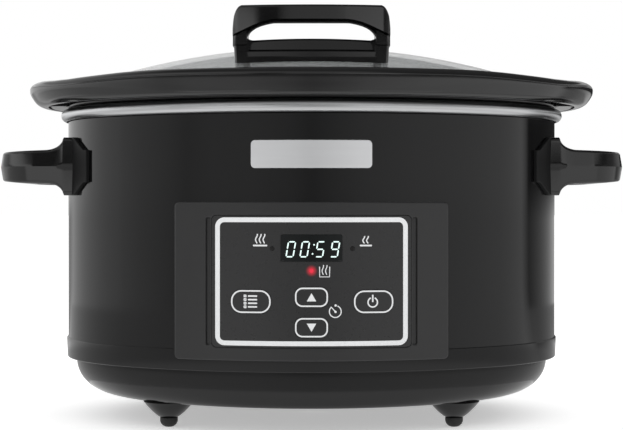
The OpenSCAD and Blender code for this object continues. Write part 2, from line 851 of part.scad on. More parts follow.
module lid_hinge_arm() {
  plate_low = hinge_z - 0.5;
  color("#202124") in_frame() difference() {
    union() {
      x_rod(-knuckle_half, knuckle_half, hinge_y, hinge_z, knuckle_r);
      translate([-knuckle_half, lid[1] - 3, plate_low]) cube([2*knuckle_half, 13.5, knuckle_r]);
    }
    oval_plate(lid, plate_low - 5, plate_low + 20, fit_gap);
    x_rod(-40, 40, hinge_y, hinge_z, hinge_pin_d/2 + running_gap);
    for (x = [-1, 1]) y_rod(x*13, hinge_z + 2.7, lid[1] - 8, lid[1] + 5.2, small_screw_r + 0.05);
  }
}

module lid_hinge_screws() {
  inside = side_y(lid, 16, -skirt_t) - 0.05;
  color("#a0a2a5") in_frame() for (x = [-1, 1]) {
    y_rod(x*13, hinge_z + 2.7, inside - 1.5, inside, 2.4);
    y_rod(x*13, hinge_z + 2.7, inside - 1, lid[1] + 5, small_screw_r);
  }
}

// ---------------------------------------------------------------- lid

skirt_t = 5.5;
glass_edge_gap = 0.5;
lid_plate_t = 3;

module lid_frame() {
  color("#3a3b3e") in_frame() difference() {
    union() {
      oval_sweep(lid) polygon(concat(
        [[-skirt_t, lid_bottom]],
        arc(-3, lid_bottom + 3, 3, 3, -90, 0, 5),
        [[0, lid_top - 4.8]],
        arc(-7, lid_top - 4.8, 7, 4.8, 0, 90, 6),
        [[-8, lid_top - lid_plate_t], [-skirt_t, lid_top - lid_plate_t - 2]]
      ));
      difference() {
        oval_plate(lid, lid_top - lid_plate_t, lid_top, -7);
        oval_plate(dome, lid_top - 10, lid_top + 5, glass_edge_gap + 1);
      }
      oval_sweep(dome) polygon([
        [-7, lid_rib_z], [3, lid_rib_z], [3, lid_top + 0.4], [2.2, lid_top + 1.2],
        [glass_edge_gap, lid_top + 1.2], [glass_edge_gap, lid_rib_z + 2.5],
        [-7, lid_rib_z + 2.5]
      ]);
    }
    for (x = [-1, 1]) y_rod(x*13, hinge_z + 2.7, lid[1] - 10, lid[1] + 5, small_screw_r + fit_gap);
  }
}

// Solid cap under the dome's outer face, sunk by d.
module dome_cap(d=0) {
  translate([0, 0, dome_top - dome_rx]) rotate([90, 0, 0]) rotate_extrude(start=64, angle=52, $fn=720)
    intersection() {
      translate([dome_rx - dome_ry, 0]) circle(dome_ry - d, $fn=720);
      translate([dome_rx - 60, -dome[1] - 10]) square([70, 2*dome[1] + 20]);
    }
}

module glass_blank(grow=0) {
  intersection() {
    difference() {
      dome_cap(-grow);
      dome_cap(glass_t + grow);
    }
    oval_plate(dome, lid_top - 15, dome_top + 10, grow);
  }
}

module lid_glass() {
  color("#c9d0d3") in_frame() difference() {
    glass_blank();
    for (x = [-1, 1]) translate([x*lid_screw_x, lid_screw_y, lid_top - 10])
      cylinder(h=60, r=screw_r + 0.3);
  }
}

module lid_seal() {
  color("#9aa0a2") in_frame() difference() {
    band_ring(dome, -6.5, glass_edge_gap - fit_gap, lid_rib_z + 2.5 + 0.05, lid_top + 0.9);
    glass_blank(fit_gap);
  }
}

// Lid handle: the front face, the depth and the split between base and grip.
lid_handle_front = -dome[1] + 17;
lid_handle_depth = 36.5;
lid_handle_low = dome_top - 20;
lid_handle_split = lid_handle_low + 14;
lid_handle_top = dome_top + 19.5;
lid_screw_x = lid_handle_w/2 - 7;
lid_screw_y = lid_handle_front + 21;

// Front outline of the whole handle, without its opening.
module lid_handle_outline() {
  half = lid_handle_w/2;
  polygon(concat(
    [[half - 3.2, lid_handle_low]],
    [[half - 1, lid_handle_split], [half + 0.1, lid_handle_top - 13]],
    arc(half - 5, lid_handle_top - 5, 4.6, 5, 20, 90, 5),
    arc(-half + 5, lid_handle_top - 5, 4.6, 5, 90, 160, 5),
    [[-half - 0.1, lid_handle_top - 13], [-half + 1, lid_handle_split]],
    [[-half + 3.2, lid_handle_low]]
  ));
}

opening_low = 4.5;
opening_high = 13.8;

// Finger opening, from the base's hump to the underside of the bar.
module lid_handle_opening(grow=0) {
  half = lid_handle_w/2 - 10.4;
  low = lid_handle_split + opening_low;
  high = lid_handle_split + opening_high;
  polygon(concat(
    [[-half + 3, low - 6], [half - 3, low - 6], [half, low + 1]],
    arc(half - 19, low + 1, 19, high - low - 1, 8, 90, 7),
    arc(-half + 19, low + 1, 19, high - low - 1, 90, 172, 7),
    [[-half, low + 1]]
  ));
}

// Side outline: the bar overhangs the legs in front, above a chamfer.
visor_h = 10;
chamfer_h = 6;
leg_inset = 3.5;

module lid_handle_side() {
  front = lid_handle_front;
  back = front + lid_handle_depth;
  top = lid_handle_top;
  rotate([90, 0, 90]) translate([0, 0, -70]) linear_extrude(140) polygon(concat(
    [[front + leg_inset, lid_handle_low - 4], [back, lid_handle_low - 4], [back, top - 14]],
    arc(back - 8, top - 8, 8, 8, 0, 90, 6),
    arc(front + 2.5, top - 2, 2, 2, 90, 180, 5),
    [[front, top - visor_h], [front + leg_inset, top - visor_h - chamfer_h]]
  ));
}

module lid_handle_slab(z0, z1) {
  intersection() {
    lid_handle_side();
    translate([0, 100, 0]) rotate([90, 0, 0]) linear_extrude(200) intersection() {
      lid_handle_outline();
      translate([-70, z0]) square([140, z1 - z0]);
    }
  }
}

module lid_screw_holes(r, z0, z1) {
  for (x = [-1, 1]) translate([x*lid_screw_x, lid_screw_y, z0]) cylinder(h=z1 - z0, r=r);
}

module lid_handle_base() {
  hump_half = lid_handle_w/2 - 13.6;
  hump_top = lid_handle_split + opening_low;
  hump_in = 8;
  lip_h = 9;
  color("#17171a") in_frame() difference() {
    union() {
      lid_handle_slab(lid_handle_low - 4, lid_handle_split);
      intersection() {
        lid_handle_side();
        translate([-hump_half, lid_handle_front + hump_in, lid_handle_split - 1])
          cube([2*hump_half, lid_handle_depth - hump_in - 5, hump_top - lid_handle_split + 1]);
      }
    }
    translate([-hump_half, lid_handle_front - 1, lid_handle_low + lip_h])
      cube([2*hump_half, hump_in + 1, 30]);
    dome_cap(-fit_gap);
    lid_screw_holes(screw_r + 0.05, lid_handle_low - 20, lid_handle_top);
  }
}

module lid_handle_grip() {
  color("#101013") in_frame() difference() {
    lid_handle_slab(lid_handle_split + 0.05, lid_handle_top + 5);
    translate([0, 100, 0]) rotate([90, 0, 0]) linear_extrude(200) lid_handle_opening();
    lid_screw_holes(screw_r + 0.05, lid_handle_split - 2, lid_handle_split + 9.5);
  }
}

module lid_handle_screws() {
  head_top = dome_top - glass_t - lid_head_drop();
  color("#a0a2a5") in_frame() {
    lid_screw_holes(4.2, head_top - 2.4, head_top);
    lid_screw_holes(screw_r, head_top - 1, lid_handle_split + 9);
  }
}

// Fall of the dome's inside at the lowest rim of a screw head.
function lid_head_drop() =
  let (x = lid_screw_x + 4.2, y = -lid_screw_y + 4.2)
  0.3 + dome_rx - sqrt(dome_rx*dome_rx - x*x) + dome_ry - sqrt(dome_ry*dome_ry - y*y);

// ---------------------------------------------------------------- pieces

outer_wrap();
base_trim_band();
base_pan();
rubber_feet();
top_collar();
heating_well();
heating_band();
thermal_fuse();
temperature_sensor();
centre_stud();
centre_nut();
left_handle();
right_handle();
side_handle_screws();
control_bezel();
keypad_overlay();
display_window();
display_module();
indicator_lenses();
control_board();
tact_switches();
board_screws();
menu_button();
up_button();
down_button();
power_button();
nameplate();
power_board();
power_board_screws();
relay();
transformer();
terminal_block();
wiring_harness();
cord_gland();
stoneware_crock();
hinge_socket();
hinge_socket_screws();
hinge_block();
hinge_pin();
lid_frame();
lid_hinge_arm();
lid_hinge_screws();
lid_glass();
lid_seal();
lid_handle_base();
lid_handle_grip();
lid_handle_screws();
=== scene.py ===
"""Looks of a countertop slow cooker: oval enamelled body, curved key panel, stoneware and glass lid.

Laid out as an add-on and run as a script. Each piece or group of pieces has its operator in the
sidebar's Cooker tab, and the sizes and colours that a user would change are properties of the scene.
"""

import math

import bmesh
import bpy
from bpy.props import FloatProperty, FloatVectorProperty, PointerProperty
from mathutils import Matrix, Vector
from mathutils.geometry import tessellate_polygon


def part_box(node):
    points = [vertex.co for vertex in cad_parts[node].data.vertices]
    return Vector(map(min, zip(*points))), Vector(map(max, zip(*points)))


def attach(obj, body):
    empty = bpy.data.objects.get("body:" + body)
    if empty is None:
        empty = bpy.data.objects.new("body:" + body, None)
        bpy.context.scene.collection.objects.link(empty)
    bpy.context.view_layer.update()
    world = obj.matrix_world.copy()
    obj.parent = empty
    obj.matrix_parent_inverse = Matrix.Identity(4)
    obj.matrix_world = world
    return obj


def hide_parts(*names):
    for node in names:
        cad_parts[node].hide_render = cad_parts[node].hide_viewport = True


bl_info = {
    "name": "Slow Cooker Looks",
    "version": (1, 0, 0),
    "blender": (4, 5, 0),
    "location": "3D View > Sidebar > Cooker",
    "description": "Builds the visible pieces of a slow cooker around its packed frame",
    "category": "Object",
}

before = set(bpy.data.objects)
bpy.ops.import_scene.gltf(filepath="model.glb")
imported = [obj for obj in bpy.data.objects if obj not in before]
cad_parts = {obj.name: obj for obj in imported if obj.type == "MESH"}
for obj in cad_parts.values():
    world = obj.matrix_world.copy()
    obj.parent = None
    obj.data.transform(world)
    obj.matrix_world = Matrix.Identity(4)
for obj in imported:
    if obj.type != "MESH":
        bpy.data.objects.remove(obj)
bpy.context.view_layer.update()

MM = 0.001
CLEAR = 0.1     # gap between pieces that meet, in millimetres

# Directions of an outward normal in plan, in degrees
FRONT = 270
REAR = 90

# The arc centres of every oval lie on a 3-4-5 triangle. Its arcs join at this normal angle.
SHARE_X = 3 / 5
SHARE_Y = 4 / 5
JOIN = math.degrees(math.atan2(4, 3))
END_STEPS = 96
SIDE_STEPS = 72


# ------------------------------------------------------------------ outlines in plan

class Oval:
    """Oval of two end arcs and two side arcs, in millimetres."""

    def __init__(self, half_x, half_y):
        # Distance from an end arc's centre to a side arc's, in steps of 0.05 mm
        spread = round(50 * (half_x - half_y)) / 20
        self.end_c = SHARE_X * spread
        self.side_c = SHARE_Y * spread
        self.end_r = half_x - self.end_c
        self.side_r = self.end_r + spread

    def at(self, angle, grow=0.0):
        """Point whose outward normal points this way in degrees, grown outward."""
        c, s = math.cos(math.radians(angle)), math.sin(math.radians(angle))
        if abs(c) > SHARE_X:
            return math.copysign(self.end_c, c) + (self.end_r + grow) * c, (self.end_r + grow) * s
        return (self.side_r + grow) * c, (self.side_r + grow) * s - math.copysign(self.side_c, s)

    def side_y(self, x, grow=0.0):
        """Distance from the long axis to a side arc at x."""
        return math.sqrt((self.side_r + grow) ** 2 - x * x) - self.side_c


def half_size(node):
    """Half width and half depth of a frame node, and the y of its middle, in millimetres."""
    lo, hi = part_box(node)
    return (hi[0] - lo[0]) / 2 / MM, (hi[1] - lo[1]) / 2 / MM, (hi[1] + lo[1]) / 2 / MM


def low_of(node):
    """Height of a frame node's underside, in millimetres."""
    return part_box(node)[0][2] / MM


def top_of(node):
    """Height of a frame node's top, in millimetres."""
    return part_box(node)[1][2] / MM


BODY_W, BODY_D, MID_Y = half_size("outer_wrap")
END_TRIM = 1.1  # how far the wrap's ends stand in from its frame node
BODY = Oval(BODY_W - END_TRIM, BODY_D)
LID_W, LID_D, _ = half_size("lid_frame")
LID = Oval(LID_W, LID_D)
DOME_W, DOME_D, _ = half_size("lid_glass")
DOME = Oval(DOME_W, DOME_D)

# Heights, in millimetres
BAND_LOW = low_of("base_trim_band")
BAND_TOP = top_of("base_trim_band")
WRAP_TOP = top_of("outer_wrap")
COLLAR_TOP = top_of("top_collar")
PAN_LOW = 17.0
FLANGE_TOP = top_of("stoneware_crock")
FLANGE_LOW = COLLAR_TOP + 0.3
LID_LOW = low_of("lid_frame")
LID_TOP = LID_LOW + 17.5
DOME_TOP = top_of("lid_glass")
PANEL_LOW, PANEL_TOP = low_of("control_bezel"), top_of("control_bezel")
PANEL_MID = (PANEL_LOW + PANEL_TOP) / 2

# Offset of the pan's wall from the body's outline
PAN_WALL = -5.7


def ring_angles(extra=()):
    """Normal angles round an oval, with every arc join and any extra angle among them."""
    joins = [-JOIN, JOIN, 180 - JOIN, 180 + JOIN, 360 - JOIN]
    counts = (END_STEPS, SIDE_STEPS, END_STEPS, SIDE_STEPS)
    angles = []
    for start, end, steps in zip(joins, joins[1:], counts):
        angles += [start + (end - start) * i / steps for i in range(steps)]
    return sorted(set(angles) | set(extra))


def arc(x, y, rx, ry, start, end, steps):
    """Points on an elliptic arc, both ends included."""
    return [(x + rx * math.cos(math.radians(start + (end - start) * i / steps)),
             y + ry * math.sin(math.radians(start + (end - start) * i / steps)))
            for i in range(steps + 1)]


def polyline(points, x):
    """Height of a polyline of rising x at a place, held level beyond its ends."""
    if x <= points[0][0]:
        return points[0][1]
    for (x0, z0), (x1, z1) in zip(points, points[1:]):
        if x <= x1:
            return z0 + (z1 - z0) * (x - x0) / (x1 - x0)
    return points[-1][1]


def rounded_loop(w, h, r, x=0.0, y=0.0, steps=8):
    """Counter-clockwise rounded rectangle about [x, y]."""
    r = min(r, w / 2, h / 2)
    points = []
    for sx, sy, start in ((1, -1, -90), (1, 1, 0), (-1, 1, 90), (-1, -1, 180)):
        points += arc(x + sx * (w / 2 - r), y + sy * (h / 2 - r), r, r, start, start + 90, steps)
    return points


def circle_loop(r, x=0.0, y=0.0, steps=32):
    """Counter-clockwise circle about [x, y]."""
    return arc(x, y, r, r, 0, 360, steps)[:-1]


def offset_loop(loop, d):
    """Loop moved outward by d, where the loop runs counter-clockwise."""
    same_point = 1e-7
    sharpest = 0.4      # holds back the corner of a very sharp turn
    moved = []
    for i, (x, y) in enumerate(loop):
        before, after = Vector(loop[i - 1]), Vector(loop[(i + 1) % len(loop)])
        here = Vector((x, y))
        normals = []
        for step in (here - before, after - here):
            if step.length > same_point:
                normals.append(Vector((step.y, -step.x)).normalized())
        total = sum(normals, Vector((0, 0)))
        scale = d * 2 / max(total.length_squared, sharpest) if len(normals) == 2 else d
        moved.append((x + total.x * scale, y + total.y * scale))
    return moved


# ------------------------------------------------------------------ mesh building

EDGE_STEPS = 3
SLIVER = 1e-9       # area, in square millimetres, under which a triangle is dropped
SAME_PLACE = 1e-6   # distance, in metres, within which points are merged
ON_CUT = 1e-5       # distance, in millimetres, within which a point counts as on a cut


def placed(name, data):
    """New object of the scene that holds the data."""
    item = bpy.data.objects.new(name, data)
    bpy.context.scene.collection.objects.link(item)
    return item


def on_level(u, v, w):
    """Place on the level: u across, v to the rear, w up."""
    return u, v, w


class Shape:
    """Mesh under construction, in millimetres about the middle of the body's outline."""

    def __init__(self):
        self.verts = []
        self.faces = []

    def add(self, verts, faces, flip=False):
        """Adds points and the faces over them."""
        base = len(self.verts)
        self.verts += [tuple(v) for v in verts]
        for face in faces:
            face = [base + i for i in face]
            self.faces.append(face[::-1] if flip else face)

    def grid(self, rows, closed_rows=False, closed_cols=True, skip=None):
        """Skin over rows of points. skip(i, j) leaves a face out."""
        n, m = len(rows), len(rows[0])
        faces = []
        for i in range(n if closed_rows else n - 1):
            for j in range(m if closed_cols else m - 1):
                if skip and skip(i, j):
                    continue
                a, b = (i + 1) % n, (j + 1) % m
                faces.append((i * m + j, a * m + j, a * m + b, i * m + b))
        self.add([p for row in rows for p in row], faces)

    def loft(self, rows):
        """Closed sections joined one after another, with both ends filled."""
        self.grid(rows)
        for row in (rows[0], rows[-1]):
            self.add(row, [list(range(len(row)))])

    def sweep(self, oval, section, closed=True):
        """Section of (offset, height) swept round an oval. A point may name its own oval."""
        rows = []
        for angle in ring_angles():
            row = []
            for point in section:
                own, d, z = point if len(point) == 3 else (oval, *point)
                row.append((*own.at(angle, d), z))
            rows.append(row)
        self.grid(rows, closed_rows=True, closed_cols=closed)

    def disc(self, oval, d, z, up=True, rings=10):
        """Filled oval in rings, level or curved, with z a number or a function of x and y."""
        angles = ring_angles()
        height = z if callable(z) else lambda x, y: z
        rows = []
        for k in range(1, rings + 1):
            row = []
            for angle in angles:
                x, y = oval.at(angle, d)
                x, y = x * k / rings, y * k / rings
                row.append((x, y, height(x, y)))
            rows.append(row)
        n = len(angles)
        verts = [p for row in rows for p in row] + [(0, 0, height(0, 0))]
        faces = [(n * rings, j, (j + 1) % n) for j in range(n)]
        for k in range(rings - 1):
            for j in range(n):
                b = (j + 1) % n
                faces.append((k * n + j, (k + 1) * n + j, (k + 1) * n + b, k * n + b))
        self.add(verts, faces, flip=not up)

    def lathe(self, profile, centre, axis="z", steps=40):
        """Profile of (radius, distance along the axis) turned round the z or y axis."""
        rows = []
        for i in range(steps):
            c, s = math.cos(2 * math.pi * i / steps), math.sin(2 * math.pi * i / steps)
            row = []
            for r, t in profile:
                p = (r * c, r * s, t) if axis == "z" else (r * s, t, r * c)
                row.append(tuple(a + b for a, b in zip(p, centre)))
            rows.append(row)
        self.grid(rows, closed_rows=True, closed_cols=False)

    def plate(self, loops, lo, hi, place, edge=0.0, cut=0.0, back_edge=0.0):
        """Plate with rounded edges. The first loop is its outline, the rest are holes; all run
        counter-clockwise. place(u, v, w) gives a point for w between lo and hi. A curved plate
        is cut into strips of the width that cut gives."""
        levels = [(0.0, lo)]
        if back_edge:
            levels = [(back_edge, lo), (0.0, lo + back_edge)]
        if edge:
            for k in range(EDGE_STEPS + 1):
                turn = math.pi / 2 * k / EDGE_STEPS
                levels.append((edge * (1 - math.cos(turn)), hi - edge + edge * math.sin(turn)))
        else:
            levels.append((0.0, hi))
        mesh = bmesh.new()
        bottom, top = [], []
        for number, loop in enumerate(loops):
            sign = 1 if number else -1
            rings = []
            for inset, w in levels:
                ring = [mesh.verts.new((u, v, w)) for u, v in offset_loop(loop, sign * inset)]
                rings.append(ring)
            for lower, upper in zip(rings, rings[1:]):
                for i in range(len(lower)):
                    j = (i + 1) % len(lower)
                    quad = [lower[i], lower[j], upper[j], upper[i]]
                    mesh.faces.new(quad[::-1] if number else quad)
            bottom.append(rings[0])
            top.append(rings[-1])
        self.fill(mesh, bottom, up=False)
        self.fill(mesh, top, up=True)
        if cut:
            self.cut_strips(mesh, cut)
        mesh.verts.index_update()
        corners = ((0.0, 0.0, 1.0), (0.0, 0.0, 0.0), (1.0, 0.0, 0.0), (0.0, 1.0, 0.0))
        out, zero, along, rise = (Vector(place(*corner)) for corner in corners)
        mirrored = (along - zero).cross(rise - zero).dot(out - zero) < 0
        self.add([place(*v.co) for v in mesh.verts],
                 [[v.index for v in f.verts] for f in mesh.faces], flip=mirrored)
        mesh.free()

    def fill(self, mesh, rings, up):
        """Fills the face between an outline and its holes."""
        flat = [v for ring in rings for v in ring]
        for tri in tessellate_polygon([[v.co.copy() for v in ring] for ring in rings]):
            corner = [flat[i] for i in tri]
            area = (corner[1].co - corner[0].co).cross(corner[2].co - corner[0].co).z
            if abs(area) < SLIVER:
                continue
            if (area > 0) != up:
                corner.reverse()
            mesh.faces.new(corner)

    def cut_strips(self, mesh, width):
        """Cuts a flat mesh into strips across u, so that it can follow a curve."""
        us = [v.co.x for v in mesh.verts]
        u = math.ceil(min(us) / width) * width
        while u < max(us):
            geometry = mesh.verts[:] + mesh.edges[:] + mesh.faces[:]
            bmesh.ops.bisect_plane(mesh, geom=geometry, dist=ON_CUT,
                                   plane_co=(u, 0, 0), plane_no=(1, 0, 0))
            u += width

    def finish(self, name, material, body, stands_for=None, weighted=False, sharp=32.0, sheet=0.0):
        """Turns the shape into an object that rides on a body of the frame. An open skin gets a
        sheet's thickness on its inside."""
        mesh = bpy.data.meshes.new(name)
        mesh.from_pydata([(x * MM, (y + MID_Y) * MM, z * MM) for x, y, z in self.verts], [],
                         self.faces)
        work = bmesh.new()
        work.from_mesh(mesh)
        bmesh.ops.remove_doubles(work, verts=work.verts[:], dist=SAME_PLACE)
        bmesh.ops.dissolve_degenerate(work, dist=SAME_PLACE / 10, edges=work.edges[:])
        bmesh.ops.recalc_face_normals(work, faces=work.faces[:])
        if sheet:
            bmesh.ops.solidify(work, geom=work.faces[:], thickness=sheet * MM)
            bmesh.ops.recalc_face_normals(work, faces=work.faces[:])
        work.to_mesh(mesh)
        work.free()
        mesh.materials.append(material)
        mesh.shade_smooth()
        mesh.set_sharp_from_angle(angle=math.radians(sharp))
        piece = placed(name, mesh)
        if weighted:
            modifier = piece.modifiers.new("even_normals", "WEIGHTED_NORMAL")
            modifier.keep_sharp = True
            modifier.weight = 90
        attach(piece, body)
        if stands_for:
            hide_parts(stands_for)


# ------------------------------------------------------------------ materials

CLOUD_SIZE = 12     # how much coarser the clouds of tone and gloss are than the grain


def surface(name, colour, rough, grain, bump, metal=0.0, tone=0.06, rough_spread=0.05,
            stretch=(1.0, 1.0, 1.0), ior=1.5, clear=0.0, glow=None, glow_strength=0.0):
    """Procedural surface: noise drives a small change of tone and gloss, and a fine relief.
    The grain is the relief's noise scale, and the bump its depth in metres."""
    material = bpy.data.materials.get(name)
    if material:
        return material
    material = bpy.data.materials.new(name)
    material.use_nodes = True
    nodes, links = material.node_tree.nodes, material.node_tree.links
    shader = nodes["Principled BSDF"]
    shader.inputs["Metallic"].default_value = metal
    shader.inputs["IOR"].default_value = ior
    shader.inputs["Transmission Weight"].default_value = clear
    if glow:
        shader.inputs["Emission Color"].default_value = (*glow, 1)
        shader.inputs["Emission Strength"].default_value = glow_strength

    place = nodes.new("ShaderNodeTexCoord")
    mapping = nodes.new("ShaderNodeMapping")
    mapping.inputs["Scale"].default_value = stretch
    links.new(place.outputs["Object"], mapping.inputs["Vector"])

    cloud = nodes.new("ShaderNodeTexNoise")
    cloud.inputs["Scale"].default_value = grain / CLOUD_SIZE
    cloud.inputs["Detail"].default_value = 3.0
    links.new(mapping.outputs["Vector"], cloud.inputs["Vector"])
    fine = nodes.new("ShaderNodeTexNoise")
    fine.inputs["Scale"].default_value = grain
    fine.inputs["Detail"].default_value = 2.0
    links.new(mapping.outputs["Vector"], fine.inputs["Vector"])

    tint = nodes.new("ShaderNodeMix")
    tint.data_type = "RGBA"
    tint.inputs["A"].default_value = (*[c * (1 - tone) for c in colour], 1)
    tint.inputs["B"].default_value = (*[min(1, c * (1 + tone)) for c in colour], 1)
    links.new(cloud.outputs["Fac"], tint.inputs["Factor"])
    links.new(tint.outputs["Result"], shader.inputs["Base Color"])

    gloss = nodes.new("ShaderNodeMapRange")
    gloss.inputs["To Min"].default_value = max(0.0, rough - rough_spread)
    gloss.inputs["To Max"].default_value = min(1.0, rough + rough_spread)
    links.new(cloud.outputs["Fac"], gloss.inputs["Value"])
    links.new(gloss.outputs["Result"], shader.inputs["Roughness"])

    relief = nodes.new("ShaderNodeBump")
    relief.inputs["Strength"].default_value = 1.0
    relief.inputs["Distance"].default_value = bump
    links.new(fine.outputs["Fac"], relief.inputs["Height"])
    links.new(relief.outputs["Normal"], shader.inputs["Normal"])
    return material


def clear_glass(name, colour, rough, density):
    """Tinted glass: a clear shader with absorption inside and a slightly uneven face."""
    material = surface(name, [0.5 + c / 2 for c in colour], rough, grain=120, bump=2e-6,
                       tone=0.01, rough_spread=0.01, clear=0.92, ior=1.5)
    nodes, links = material.node_tree.nodes, material.node_tree.links
    inside = nodes.new("ShaderNodeVolumeAbsorption")
    inside.inputs["Color"].default_value = (*colour, 1)
    inside.inputs["Density"].default_value = density
    links.new(inside.outputs["Volume"], nodes["Material Output"].inputs["Volume"])
    return material


def enamel():
    """Gloss enamel of the wrap and the trim band."""
    look = bpy.context.scene.cooker_colours
    return surface("gloss_enamel", look.body, look.body_gloss, grain=260, bump=2.0e-6, tone=0.10,
                   rough_spread=0.02)


def gloss_plastic():
    """Gloss black plastic of the side handles and the lid handle."""
    look = bpy.context.scene.cooker_colours
    return surface("gloss_black_plastic", look.handles, 0.10, grain=900, bump=1.5e-6, tone=0.08,
                   rough_spread=0.03, ior=1.75)


def panel_plastic():
    """Satin plastic of the key panel's bezel."""
    look = bpy.context.scene.cooker_colours
    return surface("satin_panel_plastic", look.panel, 0.30, grain=2600, bump=4e-6, tone=0.06,
                   rough_spread=0.04)


def rim_plastic():
    """Gloss plastic of the lid's rim."""
    look = bpy.context.scene.cooker_colours
    return surface("lid_rim_plastic", look.lid_rim, 0.12, grain=900, bump=1.5e-6, tone=0.05,
                   rough_spread=0.03, ior=1.8)


def print_ink():
    """White ink of the printed lines and signs."""
    return surface("white_print", (0.86, 0.87, 0.88), 0.5, grain=2200, bump=3e-6, tone=0.03)


# ------------------------------------------------------------------ user settings

class CookerSizes(bpy.types.PropertyGroup):
    """Sizes of the printed and small visible details."""

    frame_line: FloatProperty(name="Frame line", description="Width of the printed frame line",
                              default=0.0029, min=0.001, max=0.004, unit="LENGTH")
    key_line: FloatProperty(name="Key line", description="Width of the line round a key",
                            default=0.00092, min=0.0004, max=0.0015, unit="LENGTH")
    digit_height: FloatProperty(name="Digit height", description="Height of the display digits",
                                default=0.0099, min=0.006, max=0.012, unit="LENGTH")
    edge_round: FloatProperty(name="Edge rounding", description="Rounding of moulded edges",
                              default=0.0008, min=0.0002, max=0.002, unit="LENGTH")


class CookerColours(bpy.types.PropertyGroup):
    """Colours and gloss of the visible surfaces."""

    body: FloatVectorProperty(name="Body", description="Enamel of the outer wrap",
                              subtype="COLOR", size=3, min=0, max=1,
                              default=(0.0035, 0.0035, 0.0037))
    body_gloss: FloatProperty(name="Body roughness", description="Roughness of the enamel",
                              default=0.07, min=0.0, max=0.6)
    panel: FloatVectorProperty(name="Panel", description="Key panel plastic",
                               subtype="COLOR", size=3, min=0, max=1,
                               default=(0.026, 0.026, 0.0265))
    handles: FloatVectorProperty(name="Handles", description="Side handles and lid handle",
                                 subtype="COLOR", size=3, min=0, max=1,
                                 default=(0.003, 0.003, 0.0031))
    lid_rim: FloatVectorProperty(name="Lid rim", description="Rim round the glass",
                                 subtype="COLOR", size=3, min=0, max=1,
                                 default=(0.006, 0.006, 0.0062))
    badge: FloatVectorProperty(name="Badge", description="Bare metal plate on the front",
                               subtype="COLOR", size=3, min=0, max=1,
                               default=(0.87, 0.875, 0.89))
    glass: FloatVectorProperty(name="Glass", description="Tint of the lid glass",
                               subtype="COLOR", size=3, min=0, max=1,
                               default=(0.825, 0.835, 0.835))
    floor: FloatVectorProperty(name="Floor", description="Studio floor",
                               subtype="COLOR", size=3, min=0, max=1,
                               default=(0.93, 0.93, 0.93))


# ------------------------------------------------------------------ body

# Openings of the wrap: the window behind the key panel and the round cord inlet at the rear
WINDOW_HALF_X = 62.0
WINDOW_HALF_Z = 39.0
GLAND_Z = BAND_TOP + 12.0
GLAND_R = 6.6

# Wrap: thickness, lower edge, rounding of the upper edge, and lip that turns in over the well
SHEET = 1.2
WRAP_LOW = BAND_LOW + 1.6
WRAP_ROUND = 1.5
WRAP_LIP = 9.0

# Trim band: thickness of its floor, and how far it stands out at its top and its foot
BAND_T = 1.5
BAND_PROUD = 1.0
BAND_FOOT = 0.5

# Base pan: wall, upper edge, and reach and height of its rounded foot
PAN_T = 2.5
PAN_RIM = BAND_LOW + 5.6
BOWL_END = 25.0
BOWL_FRONT = 8.5
BOWL_H = 22.0
STUD_HOLE_R = 3.1
FEET = [(x, y) for x in (-92.3, 92.3) for y in (-75, 75)]

# Vents in the pan's floor
VENT_W = 3
VENT_L = 32
VENT_R = 1.49
VENT_PITCH = 9
VENT_FRONT_Y = -65
VENT_SIDE_X = 49.5

# Collar: inner edge, foot and thickness, and the radius and reach of its bead
COLLAR_IN = -14.0
COLLAR_FOOT = WRAP_TOP + 1.05
COLLAR_T = 0.8
BEAD_R = 4.15
BEAD_REACH = 4.8


